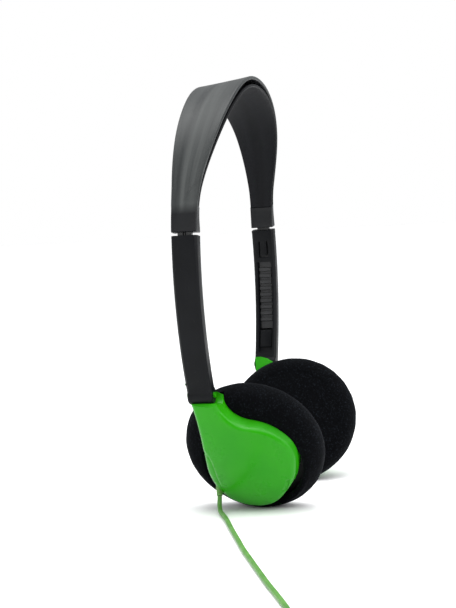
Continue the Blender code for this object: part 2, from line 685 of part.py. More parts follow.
DRIVER_PARTS = (
    ("driver_frame", "black_plastic_frame", BLACK_STRAP, 0.5, 0.0, 20,
     [(8.4, 4.4), (12.2, 4.4), (12.9, 3.4), (12.9, 1.75), (14.8, 1.75), (14.8, 3.0), (13.9, 3.4),
      (13.6, 5.4), (8.4, 5.4)]),
    ("diaphragm", "clear_film", WHITE_FILM, 0.2, 0.0, 20,
     [(0, 2.9), (3.0, 2.65), (5.8, 1.95), (6.4, 1.85), (12.4, 1.95), (12.4, 2.25), (6.5, 2.15),
      (5.9, 2.25), (3.0, 2.95), (0, 3.2)]),
    ("voice_coil", "copper", COPPER, 0.35, 0.9, 20, [(6.25, 2.6), (6.65, 2.6), (6.65, 6.6), (6.25, 6.6)]),
    ("pole_plate", "steel", STEEL, 0.3, 1.0, 18, [(0, 3.6), (5.9, 3.6), (5.9, 4.6), (0, 4.6)]),
    ("driver_magnet", "steel", STEEL, 0.3, 1.0, 18, [(0, 4.9), (5.6, 4.9), (5.6, 7.6), (0, 7.6)]),
    ("driver_yoke", "steel", STEEL, 0.3, 1.0, 20,
     [(0, 7.9), (7.0, 7.9), (7.0, 3.8), (8.05, 3.8), (8.05, 8.9), (0, 8.9)]),
    ("damping_felt", "grey_felt", GREY_FELT, 0.95, 0.0, 20,
     [(8.5, 5.7), (12.8, 5.7), (12.8, 6.3), (8.5, 6.3)]),
)


def make_driver(side, prefix, parent):
    made = []
    for name, finish, colour, roughness, metallic, segments, profile in DRIVER_PARTS:
        bm = mirrored(turned(profile, BODY_FRAME, segments), side)
        obj = finish_mesh(f"{prefix}_{name}", bm, parent)
        made.append(dress(obj, material(finish, colour, roughness, metallic)))
    board = mirrored(box((8.9, -3.5, 6.6), (13.6, 3.5, 7.6), BODY_FRAME), side)
    obj = finish_mesh(f"{prefix}_terminal_board", board, parent)
    made.append(dress(obj, material("board_green", BOARD_GREEN, 0.4), False))
    return made


# ---- Cord pieces ----


def gland_frame():
    origin = CUP_FRAME @ Vector(GLAND_AT)
    out = (CUP_FRAME.to_3x3() @ GLAND_AXIS).normalized()
    across = out.cross(X_AXIS).normalized()
    return axes_frame(origin, across, out.cross(across), out)


def make_gland(parent):
    profile = [(0, -2.3), (1.9, -2.3), (1.9, 1.2), (1.45, GLAND_OUT), (0, GLAND_OUT)]
    bm = turned(profile, gland_frame(), 20)
    return dress(finish_mesh("cord_gland", bm, parent), material("green_cord", GREEN_CORD, 0.5))


def smooth_route(points, spacing):
    """Points about spacing apart on a Catmull-Rom curve through the route's own points."""
    dense = []
    for i in range(len(points) - 1):
        before = points[max(i - 1, 0)]
        after = points[min(i + 2, len(points) - 1)]
        for step in range(24):
            t = step / 24
            a = points[i] * 2
            b = (points[i + 1] - before) * t
            c = (before * 2 - points[i] * 5 + points[i + 1] * 4 - after) * t * t
            d = (points[i] * 3 - before - points[i + 1] * 3 + after) * t**3
            dense.append((a + b + c + d) / 2)
    dense.append(points[-1])
    lengths = [0.0]
    for near, far in zip(dense, dense[1:]):
        lengths.append(lengths[-1] + (far - near).length)
    count = max(2, round(lengths[-1] / spacing))
    even = []
    i = 0
    for step in range(count + 1):
        target = lengths[-1] * step / count
        while i < len(dense) - 2 and lengths[i + 1] < target:
            i += 1
        span = lengths[i + 1] - lengths[i]
        even.append(dense[i].lerp(dense[i + 1], (target - lengths[i]) / span))
    return even


LEAD_HEIGHT = 1.15
LEAD_ROUTE = (
    (-42.6, 15.8, 3.6),
    (-46.4, 14.6, 1.5),
    (-52.5, 11.9, LEAD_HEIGHT),
    (-61.4, 8.0, LEAD_HEIGHT),
    (-79.0, 1.2, LEAD_HEIGHT),
    (-97.0, -5.9, LEAD_HEIGHT),
    (-114.5, -12.8, LEAD_HEIGHT),
    (-130.5, -19.6, LEAD_HEIGHT),
    (-145.5, -26.0, LEAD_HEIGHT),
    (-161.0, -32.7, LEAD_HEIGHT),
    (-174.0, -38.6, LEAD_HEIGHT),
    (-187.5, -44.6, LEAD_HEIGHT),
    (-201.3, -50.3, LEAD_HEIGHT),
    (-212.4, -54.9, LEAD_HEIGHT),
    (-221.6, -58.7, LEAD_HEIGHT),
)


def make_lead():
    frame = gland_frame()
    start = [frame @ Vector((0, 0, GLAND_OUT + GAP)), frame @ Vector((0, 0, GLAND_OUT + GAP + 1.2))]
    route = start + [Vector(point) for point in LEAD_ROUTE]
    points = smooth_route(route, 4.6)
    return tube("cord_lead", points, CORD_RADIUS, 2, material("green_cord", GREEN_CORD, 0.5))


def make_coil(parent):
    """The outer shape of the cord that is wound up: a ring with rounded corners."""
    frame = Matrix.Translation(COIL_CENTRE)
    corner = 1.2
    top = COIL_BASE + COIL_HEIGHT
    profile = []
    for radius, height, start in (
        (COIL_OUTER - corner, COIL_BASE + corner, -90),
        (COIL_OUTER - corner, top - corner, 0),
        (COIL_INNER + corner, top - corner, 90),
        (COIL_INNER + corner, COIL_BASE + corner, 180),
    ):
        for step in range(2):
            angle = math.radians(start + 90 * step)
            profile.append((radius + corner * math.cos(angle), height + corner * math.sin(angle)))
    bm = turned(profile, frame, 24)
    return dress(finish_mesh("cord_coil", bm, parent), material("green_cord", GREEN_CORD, 0.5))


PLUG_PARTS = (
    ("plug_boot", "green_cord", GREEN_CORD, 0.5, 0.0,
     [(0, 0), (1.4, 0), (2.0, 6.0), (2.6, 10.0), (0, 10.0)]),
    ("plug_body", "black_arm", BLACK_SATIN, 0.38, 0.0,
     [(0, 10.3), (3.0, 10.3), (3.5, 11.2), (3.5, 26.0), (3.1, 26.8), (0, 26.8)]),
    ("plug_sleeve", "steel", STEEL, 0.3, 1.0, [(0, 27.1), (1.75, 27.1), (1.75, 33.8), (0, 33.8)]),
    ("plug_ring", "steel", STEEL, 0.3, 1.0, [(0, 34.4), (1.75, 34.4), (1.75, 37.0), (0, 37.0)]),
    ("plug_tip", "steel", STEEL, 0.3, 1.0,
     [(0, 37.6), (1.75, 37.6), (1.75, 38.4), (1.2, 39.4), (1.65, 40.4), (0.6, 42.0), (0, 42.2)]),
)
PLUG_START = Vector((-249.3, -40.4, PLUG_HEIGHT))
PLUG_DIRECTION = Vector((0.0, 1.0, 0.0))


def make_plug(parent):
    frame = axes_frame(PLUG_START, Z_AXIS, PLUG_DIRECTION.cross(Z_AXIS), PLUG_DIRECTION)
    made = []
    for name, finish, colour, roughness, metallic, profile in PLUG_PARTS:
        bm = turned(profile, frame, 16)
        made.append(dress(finish_mesh(name, bm, parent), material(finish, colour, roughness, metallic)))
    return made


def pivot_empty(name, place):
    empty = bpy.data.objects.new(name, None)
    empty.location = place * MM
    empty.empty_display_size = 0.01
    bpy.context.scene.collection.objects.link(empty)
    return empty


def main():
    for obj in list(bpy.data.objects):
        bpy.data.objects.remove(obj)
    right = Matrix.Diagonal((-1, 1, 1, 1))
    arm_axis = {
        -1: pivot_empty("left_tilt_axis", PIVOT.translation),
        1: pivot_empty("right_slide_axis", right @ SLIDE_CENTRE),
    }
    band_axis = pivot_empty("left_slide_axis", SLIDE_CENTRE)
    cup_axis = {
        -1: pivot_empty("left_cup_base", PAD_CENTRE),
        1: pivot_empty("right_tilt_axis", right @ PIVOT.translation),
    }
    make_cover(band_axis)
    make_strap(band_axis)
    make_crossover_wire()
    for side, prefix in ((-1, "left"), (1, "right")):
        make_rack(side, prefix, band_axis)
        make_arm(side, prefix, arm_axis[side])
        make_pin(side, prefix, cup_axis[side])
        make_shell(side, prefix, cup_axis[side])
        make_baffle(side, prefix, cup_axis[side])
        make_pad(side, prefix, cup_axis[side])
        make_driver(side, prefix, cup_axis[side])
        for number in (1, 2):
            make_screw(side, prefix, number, cup_axis[side])
    make_gland(cup_axis[-1])
    make_lead()
    make_coil(None)
    make_plug(None)


main()
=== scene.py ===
# %% [markdown]
# # A lightweight pair of on-ear headphones
#
# This notebook dresses a finished CAD model. The CAD gives every part's place and motion, and the
# cells below add what a camera sees: smooth moulded covers, a springy two-layer headband, soft foam
# buns, and a thin cord with its plug. Each step says what the real piece is, how it could be made,
# and why one way was chosen.

# %% Load the frame
import math

import bmesh
import bpy
from mathutils import Matrix, Vector, noise


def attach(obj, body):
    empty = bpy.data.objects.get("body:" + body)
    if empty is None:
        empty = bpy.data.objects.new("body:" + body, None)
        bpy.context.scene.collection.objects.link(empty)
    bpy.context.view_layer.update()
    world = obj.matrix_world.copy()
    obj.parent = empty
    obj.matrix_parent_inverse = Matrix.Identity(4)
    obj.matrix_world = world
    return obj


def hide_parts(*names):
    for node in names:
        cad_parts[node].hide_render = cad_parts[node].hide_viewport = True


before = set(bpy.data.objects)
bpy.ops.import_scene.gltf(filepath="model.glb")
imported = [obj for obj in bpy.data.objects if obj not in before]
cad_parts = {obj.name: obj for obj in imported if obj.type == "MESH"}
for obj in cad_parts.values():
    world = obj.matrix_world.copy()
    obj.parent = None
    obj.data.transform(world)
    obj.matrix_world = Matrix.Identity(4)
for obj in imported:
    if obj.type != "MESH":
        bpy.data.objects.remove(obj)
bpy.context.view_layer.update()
scene = bpy.context.scene
MM = 0.001

# %% [markdown]
# ## Camera
#
# A camera is placed from its position and three turns: yaw, pitch and roll. Building its axes from
# vectors, instead of Euler angles, shows plainly which way is right and which way is up.

# %% Camera
CAMERA_AT = Vector((-0.6128, -0.1453, 0.12208))
CAMERA_YAW = 0.261
CAMERA_PITCH = -0.057
CAMERA_ROLL = -0.058
LENS = 83.37

look = Vector(
    (
        math.cos(CAMERA_PITCH) * math.cos(CAMERA_YAW),
        math.cos(CAMERA_PITCH) * math.sin(CAMERA_YAW),
        math.sin(CAMERA_PITCH),
    )
)
level_right = Vector((math.sin(CAMERA_YAW), -math.cos(CAMERA_YAW), 0.0))
level_up = level_right.cross(look)
right = level_right * math.cos(CAMERA_ROLL) + level_up * math.sin(CAMERA_ROLL)
up = level_up * math.cos(CAMERA_ROLL) - level_right * math.sin(CAMERA_ROLL)
camera_turn = Matrix((right, up, -look)).transposed()
camera_data = bpy.data.cameras.new("camera")
camera_data.sensor_width = 36.0
camera_data.lens = LENS
camera_data.clip_start = 0.01
camera_data.clip_end = 50.0
camera = bpy.data.objects.new("camera", camera_data)
camera.matrix_world = Matrix.Translation(CAMERA_AT) @ camera_turn.to_4x4()
scene.collection.objects.link(camera)
scene.camera = camera
print("camera looks along", [round(x, 3) for x in look])

# %% [markdown]
# ## Node helpers
#
# Materials are built from nodes. A few short helpers keep each recipe readable: one adds a node and
# fills in its inputs, one joins sockets, and one opens a shared node group with named sockets.

# %% Node helpers


def add_node(tree, kind, **settings):
    node = tree.nodes.new(kind)
    for key, value in settings.items():
        setattr(node, key, value)
    return node


def feed(tree, socket, value):
    """Joins a socket to an output, or sets its own number or colour."""
    if isinstance(value, bpy.types.NodeSocket):
        tree.links.new(value, socket)
    else:
        socket.default_value = value


def math_node(tree, operation, first, second=0.0, clamp=False):
    node = add_node(tree, "ShaderNodeMath", operation=operation, use_clamp=clamp)
    feed(tree, node.inputs[0], first)
    feed(tree, node.inputs[1], second)
    return node.outputs[0]


def noise_node(tree, vector, scale, detail=2.0, roughness=0.5):
    node = add_node(tree, "ShaderNodeTexNoise")
    feed(tree, node.inputs["Vector"], vector)
    feed(tree, node.inputs["Scale"], scale)
    node.inputs["Detail"].default_value = detail
    node.inputs["Roughness"].default_value = roughness
    return node.outputs["Fac"]


def range_node(tree, value, low, high, to_low=0.0, to_high=1.0):
    node = add_node(tree, "ShaderNodeMapRange")
    feed(tree, node.inputs["Value"], value)
    for name, number in (("From Min", low), ("From Max", high), ("To Min", to_low), ("To Max", to_high)):
        feed(tree, node.inputs[name], number)
    return node.outputs["Result"]


def mix_colours(tree, amount, first, second):
    node = add_node(tree, "ShaderNodeMix", data_type="RGBA")
    feed(tree, node.inputs["Factor"], amount)
    feed(tree, node.inputs["A"], first)
    feed(tree, node.inputs["B"], second)
    return node.outputs["Result"]


def new_group(name, inputs, outputs):
    """Opens a shader node group. inputs and outputs are rows of (name, socket type, default)."""
    group = bpy.data.node_groups.new(name, "ShaderNodeTree")
    for label, kind, default in inputs:
        socket = group.interface.new_socket(label, in_out="INPUT", socket_type=kind)
        if default is not None:
            socket.default_value = default
    for label, kind in outputs:
        group.interface.new_socket(label, in_out="OUTPUT", socket_type=kind)
    source = add_node(group, "NodeGroupInput")
    sink = add_node(group, "NodeGroupOutput")
    return group, source.outputs, sink.inputs


def use_group(tree, group, **values):
    node = add_node(tree, "ShaderNodeGroup", node_tree=group)
    for label, value in values.items():
        feed(tree, node.inputs[label], value)
    return node.outputs


FLOAT = "NodeSocketFloat"
VECTOR = "NodeSocketVector"
print("node helpers ready")

# %% [markdown]
# ## Shared surface effects
#
# Injection-moulded plastic is never perfectly even. The tool leaves a very fine grain, the melt
# leaves broad soft waves, and hands leave patches that shine a little more. Four groups hold these
# effects, and each material places them with its own strength.

# %% Group: moulded grain
grain_group, given, made = new_group(
    "moulded_grain",
    (("Vector", VECTOR, None), ("Grain", FLOAT, 3500.0), ("Wave", FLOAT, 60.0)),
    (("Height", FLOAT), ("Tone", FLOAT)),
)
fine = noise_node(grain_group, given["Vector"], given["Grain"], 3.0, 0.6)
broad = noise_node(grain_group, given["Vector"], given["Wave"], 2.0, 0.5)
height = math_node(grain_group, "ADD", fine, math_node(grain_group, "MULTIPLY", broad, 2.0))
grain_group.links.new(height, made["Height"])
grain_group.links.new(broad, made["Tone"])
print(grain_group.name, "puts out height and tone")

# %% Group: handling marks
marks_group, given, made = new_group(
    "handling_marks",
    (("Vector", VECTOR, None), ("Patch", FLOAT, 90.0), ("Least", FLOAT, 0.3), ("Most", FLOAT, 0.45)),
    (("Roughness", FLOAT), ("Scuffs", FLOAT)),
)
patches = noise_node(marks_group, given["Vector"], given["Patch"], 4.0, 0.65)
stretched = add_node(marks_group, "ShaderNodeMapping")
marks_group.links.new(given["Vector"], stretched.inputs["Vector"])
stretched.inputs["Scale"].default_value = (1.0, 1.0, 0.08)
stretched.inputs["Rotation"].default_value = (0.3, 0.2, 0.5)
lines = noise_node(marks_group, stretched.outputs["Vector"], 2600.0, 2.0, 0.5)
scuffs = range_node(marks_group, lines, 0.68, 0.78)
shown = math_node(marks_group, "MULTIPLY", scuffs, range_node(marks_group, patches, 0.5, 0.7))
rough = range_node(marks_group, patches, 0.3, 0.7, given["Least"], given["Most"])
marks_group.links.new(math_node(marks_group, "ADD", rough, math_node(marks_group, "MULTIPLY", shown, 0.08)),
                      made["Roughness"])
marks_group.links.new(shown, made["Scuffs"])
print(marks_group.name, "puts out roughness and scuffs")

# %% Group: lengthwise streaks, for strips whose own coordinates run along them; flow streaks in roughness and relief, painted sheen in colour
streak_group, given, made = new_group(
    "flow_streaks_and_painted_sheen",
    (("Vector", VECTOR, None), ("Across", FLOAT, 420.0), ("Along", FLOAT, 14.0)),
    (("Streaks", FLOAT), ("Bands", FLOAT)),
)
parts = add_node(streak_group, "ShaderNodeSeparateXYZ")
streak_group.links.new(given["Vector"], parts.inputs[0])
joined = add_node(streak_group, "ShaderNodeCombineXYZ")
for label, stretch in (("Y", "Across"), ("Z", "Along")):
    scaled = math_node(streak_group, "MULTIPLY", parts.outputs[label], given[stretch])
    streak_group.links.new(scaled, joined.inputs[label])
streaks = noise_node(streak_group, joined.outputs[0], 1.0, 3.0, 0.6)
bands = noise_node(streak_group, joined.outputs[0], 0.35, 1.0, 0.4)
streak_group.links.new(streaks, made["Streaks"])
streak_group.links.new(bands, made["Bands"])
print(streak_group.name, "puts out streaks and bands")

# %% Group: foam cells
foam_group, given, made = new_group(
    "foam_cells",
    (("Vector", VECTOR, None), ("Cells", FLOAT, 1500.0)),
    (("Height", FLOAT), ("Specks", FLOAT)),
)
cells = add_node(foam_group, "ShaderNodeTexVoronoi", feature="F1")
foam_group.links.new(given["Vector"], cells.inputs["Vector"])
foam_group.links.new(given["Cells"], cells.inputs["Scale"])
# Fine noise mixes scattered lighter specks into the foam's colour.
speck_noise = noise_node(foam_group, given["Vector"], 1500.0, 2.0, 0.7)
specks = range_node(foam_group, speck_noise, 0.56, 0.76)
depth = math_node(foam_group, "ADD", cells.outputs["Distance"], speck_noise)
foam_group.links.new(depth, made["Height"])
foam_group.links.new(specks, made["Specks"])
print(foam_group.name, "puts out height and specks")

# %% [markdown]
# ## Materials
#
# Every material starts from the same short recipe: a Principled shader, object coordinates or the
# piece's own strip coordinates, and a Bump node. What differs is the colour, which groups are
# placed, and how strongly they act. Numbers that are the same all over sit on the shader itself.

# %% Material recipe


def start_material(name, coordinates="object", **even):
    """A material with its shader and coordinates. even holds the shader's own uniform settings."""
    made_material = bpy.data.materials.new(name)
    made_material.use_nodes = True
    tree = made_material.node_tree
    shader = tree.nodes["Principled BSDF"]
    for label, value in even.items():
        shader.inputs[label.replace("_", " ")].default_value = value
    if coordinates == "object":
        place = add_node(tree, "ShaderNodeTexCoord").outputs["Object"]
    else:
        place = add_node(tree, "ShaderNodeAttribute", attribute_name=coordinates).outputs["Vector"]
    return made_material, tree, shader, place


def bump(tree, shader, height, strength, distance):
    node = add_node(tree, "ShaderNodeBump")
    node.inputs["Strength"].default_value = strength
    node.inputs["Distance"].default_value = distance
    feed(tree, node.inputs["Height"], height)
    tree.links.new(node.outputs["Normal"], shader.inputs["Normal"])


def moulded(name, colour, lighter, least, most, grain_depth, **even):
    """Moulded plastic: a slightly uneven colour, handled gloss and a fine grain."""
    made_material, tree, shader, place = start_material(name, **even)
    grain = use_group(tree, grain_group, Vector=place)
    marks = use_group(tree, marks_group, Vector=place, Least=least, Most=most)
    tone = range_node(tree, grain["Tone"], 0.35, 0.65)
    base = mix_colours(tree, tone, (*colour, 1.0), (*lighter, 1.0))
    worn = math_node(tree, "MULTIPLY", marks["Scuffs"], 0.05)
    feed(tree, shader.inputs["Base Color"], mix_colours(tree, worn, base, (0.75, 0.76, 0.75, 1.0)))
    feed(tree, shader.inputs["Roughness"], marks["Roughness"])
    bump(tree, shader, grain["Height"], 0.25, grain_depth)
    return made_material


green_shell = moulded(
    "green_shell_finish", (0.012, 0.235, 0.0003), (0.016, 0.255, 0.0006), 0.25, 0.33, 0.00001,
    IOR=1.5, Specular_IOR_Level=0.2,
)
black_satin = moulded(
    "black_satin_finish", (0.0022, 0.0026, 0.0034), (0.0036, 0.0041, 0.0052), 0.34, 0.46, 0.00003,
    IOR=1.47, Specular_IOR_Level=0.12,
)
black_inner = moulded(
    "black_inner_finish", (0.004, 0.0044, 0.0052), (0.007, 0.0074, 0.0085), 0.4, 0.55, 0.00003,
    IOR=1.46, Specular_IOR_Level=0.2,
)
rack_black = moulded(
    "black_rack_finish", (0.010, 0.0105, 0.012), (0.018, 0.0185, 0.02), 0.3, 0.42, 0.00002,
    Specular_IOR_Level=0.35,
)
board_green = moulded("board_finish", (0.012, 0.075, 0.03), (0.02, 0.11, 0.045), 0.3, 0.5, 0.00002)
print("moulded plastics: green shell, black satin, black inner, rack, board")

# %% Band finish: satin black with lengthwise streaks, real in roughness and relief, painted sheen in the colour


def strip_finish(name, colour, lighter, least, most, streak_gain, gloss):
    made_material, tree, shader, place = start_material(
        name, coordinates="strip", IOR=1.5, Specular_IOR_Level=gloss
    )
    streak = use_group(tree, streak_group, Vector=place)
    solid = add_node(tree, "ShaderNodeTexCoord").outputs["Object"]
    grain = use_group(tree, grain_group, Vector=solid, Grain=4200.0, Wave=90.0)
    # The lighter streaks and bands mixed into the base colour are painted sheen: they stand for streaky
    # highlights on the satin.
    tone = range_node(tree, math_node(tree, "ADD", streak["Bands"], streak["Streaks"]), 0.7, 1.3)
    feed(tree, shader.inputs["Base Color"], mix_colours(tree, tone, (*colour, 1.0), (*lighter, 1.0)))
    feed(tree, shader.inputs["Roughness"], range_node(tree, streak["Bands"], 0.35, 0.65, least, most))
    relief = math_node(tree, "MULTIPLY", streak["Bands"], streak_gain)
    bump(tree, shader, math_node(tree, "ADD", relief, grain["Height"]), 0.3, 0.00004)
    return made_material


# The cover's grey base, far lighter than the strap's black, is painted sheen: it stands for the gloss of
# black satin lit from above.
band_outer = strip_finish(
    "band_outer_painted_sheen_finish", (0.022, 0.024, 0.0245), (0.058, 0.062, 0.061), 0.34, 0.5, 4.0, 0.2
)
band_inner = strip_finish(
    "band_inner_finish", (0.0025, 0.0027, 0.0035), (0.006, 0.0064, 0.008), 0.42, 0.55, 3.0, 0.1
)
print("strip finishes: outer cover and inner strap")

# %% Foam, cord, wire and metal finishes
black_foam, tree, shader, place = start_material(
    "black_foam_finish", Roughness=1.0, Sheen_Weight=0.03, Sheen_Roughness=0.5, Specular_IOR_Level=0.05
)
shader.inputs["Sheen Tint"].default_value = (0.55, 0.6, 0.7, 1.0)
foam = use_group(tree, foam_group, Vector=place)
feed(tree, shader.inputs["Base Color"],
     mix_colours(tree, foam["Specks"], (0.0009, 0.001, 0.0014, 1.0), (0.013, 0.0165, 0.0215, 1.0)))
bump(tree, shader, foam["Height"], 0.6, 0.0002)

green_cord, tree, shader, place = start_material("green_cord_finish", Specular_IOR_Level=0.4)
grain = use_group(tree, grain_group, Vector=place, Grain=2600.0, Wave=220.0)
marks = use_group(tree, marks_group, Vector=place, Patch=200.0, Least=0.42, Most=0.6)
tone = range_node(tree, grain["Tone"], 0.35, 0.65)
feed(tree, shader.inputs["Base Color"],
     mix_colours(tree, tone, (0.07, 0.215, 0.035, 1.0), (0.105, 0.27, 0.055, 1.0)))
feed(tree, shader.inputs["Roughness"], marks["Roughness"])
bump(tree, shader, grain["Height"], 0.25, 0.00004)


def metal(name, colour, lighter, least, most):
    """Bare metal with fine turning lines and patches of tarnish."""
    made_material, tree, shader, place = start_material(name, Metallic=1.0)
    grain = use_group(tree, grain_group, Vector=place, Grain=5000.0, Wave=400.0)
    marks = use_group(tree, marks_group, Vector=place, Patch=300.0, Least=least, Most=most)
    tone = range_node(tree, grain["Tone"], 0.35, 0.65)
    feed(tree, shader.inputs["Base Color"], mix_colours(tree, tone, (*colour, 1.0), (*lighter, 1.0)))
    feed(tree, shader.inputs["Roughness"], marks["Roughness"])
    bump(tree, shader, grain["Height"], 0.15, 0.00001)
    return made_material


steel = metal("steel_finish", (0.52, 0.52, 0.53), (0.66, 0.66, 0.66), 0.16, 0.3)
copper = metal("copper_finish", (0.62, 0.25, 0.12), (0.75, 0.34, 0.18), 0.25, 0.4)
felt = moulded("grey_felt_finish", (0.16, 0.16, 0.165), (0.24, 0.24, 0.24), 0.9, 1.0, 0.0001)
film = moulded("clear_film_finish", (0.62, 0.62, 0.58), (0.72, 0.72, 0.68), 0.12, 0.22, 0.00001)
wire_black = moulded("black_wire_finish", (0.008, 0.008, 0.009), (0.014, 0.014, 0.015), 0.45, 0.6, 0.00002)
print("foam, cord, steel, copper, felt, film and wire finishes")

# %% [markdown]
# ## Finish each CAD node that stays
#
# Parts whose CAD shape is already right keep it: racks, pivot pins, baffles, drivers and screws.
# They only take a finish. A lookup from each part's name to its finish does it in one loop.

# %% Finish the CAD nodes
NODE_FINISHES = {
    "crossover_wire": wire_black,
    "rack": rack_black,
    "pivot_pin": steel,
    "baffle": black_inner,
    "driver_frame": black_inner,
    "diaphragm": film,
    "voice_coil": copper,
    "pole_plate": steel,
    "driver_magnet": steel,
    "driver_yoke": steel,
    "damping_felt": felt,
    "terminal_board": board_green,
    "screw": steel,
    "plug_body": black_satin,
    "plug_sleeve": steel,
    "plug_ring": steel,
    "plug_tip": steel,
}


def dress_node(name, node):
    for ending, finish in NODE_FINISHES.items():
        if ending not in name:
            continue
        for slot in node.material_slots:
            slot.material = finish
        return 1
    return 0


dressed = sum(dress_node(name, node) for name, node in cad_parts.items())
print(dressed, "CAD nodes dressed")

# %% [markdown]
# ## Stage: a plain pale floor and soft light
#
# One broad sun with a wide disc lights the floor evenly, so its shadows are soft. Three large panels
# round the object and one small low one give the plastic long quiet highlights. The world is white
# where the camera sees it, and dimmer where it lights: dark near the outer sides and bright above, as
# in a light tent with an open front, so black plastic stays black.

# %% Floor and lights
FLOOR_HALF = 14.0
floor_mesh = bpy.data.meshes.new("floor")
floor_shape = bmesh.new()
bmesh.ops.create_grid(floor_shape, x_segments=1, y_segments=1, size=FLOOR_HALF)
floor_shape.to_mesh(floor_mesh)
floor_shape.free()
floor = bpy.data.objects.new("floor", floor_mesh)
scene.collection.objects.link(floor)
floor_finish, tree, shader, place = start_material("floor_finish", Roughness=0.9, Specular_IOR_Level=0.1)
paper = noise_node(tree, place, 40.0, 3.0, 0.5)
feed(tree, shader.inputs["Base Color"],
     mix_colours(tree, paper, (0.93, 0.93, 0.93, 1.0), (0.95, 0.95, 0.95, 1.0)))
floor_mesh.materials.append(floor_finish)


def area_light(name, at, towards, size, power):
    data = bpy.data.lights.new(name, "AREA")
    data.shape = "SQUARE"
    data.size = size
    data.energy = power
    light = bpy.data.objects.new(name, data)
    light.location = at
    light.rotation_mode = "QUATERNION"
    light.rotation_quaternion = (Vector(towards) - Vector(at)).to_track_quat("-Z", "Y")
    scene.collection.objects.link(light)
    return light


SUN_STRENGTH = 2.6
SUN_DISC = math.radians(60)
sun_data = bpy.data.lights.new("broad_sun", "SUN")
sun_data.energy = SUN_STRENGTH
sun_data.angle = SUN_DISC
sun = bpy.data.objects.new("broad_sun", sun_data)
sun.rotation_euler = (math.radians(18), math.radians(-14), 0.0)
scene.collection.objects.link(sun)
area_light("front_left_panel", (-0.55, 0.75, 0.55), (0.0, 0.0, 0.08), 0.7, 2.5)
area_light("rear_right_panel", (-0.15, -0.9, 0.45), (0.0, 0.0, 0.08), 0.7, 4.0)
area_light("top_panel", (0.1, 0.1, 1.0), (0.0, 0.0, 0.1), 0.8, 6.0)
area_light("low_front_panel", (-0.42, 0.12, 0.17), (-0.06, 0.0, 0.03), 0.3, 0.35)

TENT_DARK = 0.05
TENT_BRIGHT = 0.5
world = bpy.data.worlds.new("studio")
world.use_nodes = True
scene.world = world
tree = world.node_tree
tree.nodes.clear()
seen = add_node(tree, "ShaderNodeBackground")
seen.inputs["Strength"].default_value = 1.0
seen.inputs["Color"].default_value = (1.0, 1.0, 1.0, 1.0)
lighting = add_node(tree, "ShaderNodeBackground")
lighting.inputs["Color"].default_value = (0.95, 0.98, 1.0, 1.0)
direction = add_node(tree, "ShaderNodeSeparateXYZ")
tree.links.new(add_node(tree, "ShaderNodeTexCoord").outputs["Generated"], direction.inputs[0])
sides = range_node(tree, direction.outputs["X"], -0.92, -0.3)
above = range_node(tree, direction.outputs["Z"], 0.3, 0.85)
tent = math_node(tree, "MAXIMUM", sides, above)
tree.links.new(range_node(tree, tent, 0.0, 1.0, TENT_DARK, TENT_BRIGHT), lighting.inputs["Strength"])
chooser = add_node(tree, "ShaderNodeMixShader")
rays = add_node(tree, "ShaderNodeLightPath")
tree.links.new(rays.outputs["Is Camera Ray"], chooser.inputs["Fac"])
tree.links.new(lighting.outputs[0], chooser.inputs[1])
tree.links.new(seen.outputs[0], chooser.inputs[2])
tree.links.new(chooser.outputs[0], add_node(tree, "ShaderNodeOutputWorld").inputs["Surface"])
scene.view_settings.view_transform = "Standard"
print("floor, one sun, four panels and a white world")

# %% [markdown]
# ## Mesh helpers
#
# Shapes are drawn in millimetres in a bmesh and scaled to metres when they are finished. Doubles are
# merged and normals are recalculated first, because a spin or a mirror can turn a shape inside out.

# %% Mesh helpers


def finish_piece(name, shape, finish, body, nodes=(), crease=35.0):
    """Turns a millimetre bmesh into a piece that rides on a body and stands for CAD nodes."""
    bmesh.ops.remove_doubles(shape, verts=shape.verts, dist=0.0005)
    bmesh.ops.recalc_face_normals(shape, faces=shape.faces)
    if shape.calc_volume(signed=True) < 0:
        bmesh.ops.reverse_faces(shape, faces=shape.faces)
    bmesh.ops.scale(shape, vec=(MM, MM, MM), verts=shape.verts)
    mesh = bpy.data.meshes.new(name)
    shape.to_mesh(mesh)
    shape.free()
    mesh.materials.append(finish)
    mesh.shade_smooth()
    mesh.set_sharp_from_angle(angle=math.radians(crease))
    piece = bpy.data.objects.new(name, mesh)
    scene.collection.objects.link(piece)
    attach(piece, body)
    if nodes:
        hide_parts(*nodes)
    print(name, "has", len(mesh.polygons), "faces")
    return piece


def mirror_to_right(shape):
    bmesh.ops.scale(shape, vec=(-1, 1, 1), verts=shape.verts)
    bmesh.ops.reverse_faces(shape, faces=shape.faces)
    return shape


def axes_matrix(origin, x, y, z):
    matrix = Matrix((x, y, z)).transposed().to_4x4()
    matrix.translation = origin
    return matrix


def ease(t):
    """Rises smoothly from 0 to 1 as t goes from 0 to 1."""
    t = min(max(t, 0.0), 1.0)
    return t * t * (3 - 2 * t)


def spin_profile(profile, place, steps=64):
    """Spins an open outline of (radius, height) points round an axis into a closed body."""
    shape = bmesh.new()
    verts = [shape.verts.new((radius, 0, height)) for radius, height in profile]
    edges = [shape.edges.new(pair) for pair in zip(verts, verts[1:])]
    bmesh.ops.spin(
        shape, geom=verts + edges, cent=(0, 0, 0), axis=(0, 0, 1), angle=2 * math.pi, steps=steps,
        use_merge=True,
    )
    bmesh.ops.remove_doubles(shape, verts=shape.verts, dist=0.0005)
    bmesh.ops.recalc_face_normals(shape, faces=shape.faces)
    bmesh.ops.transform(shape, matrix=place, verts=shape.verts)
    return shape


Y_AXIS = Vector((0, 1, 0))
Z_AXIS = Vector((0, 0, 1))
print("mesh helpers ready")

# %% [markdown]
# ## Where things are
#
# The left side is drawn and the right side is its mirror image. A cup has its own axes: U towards
# the rear, V up along the pad and W outwards from the ear. An arm is part of a circle, and a frame
# on it has X away from the head, Y forward and Z down along the arm.

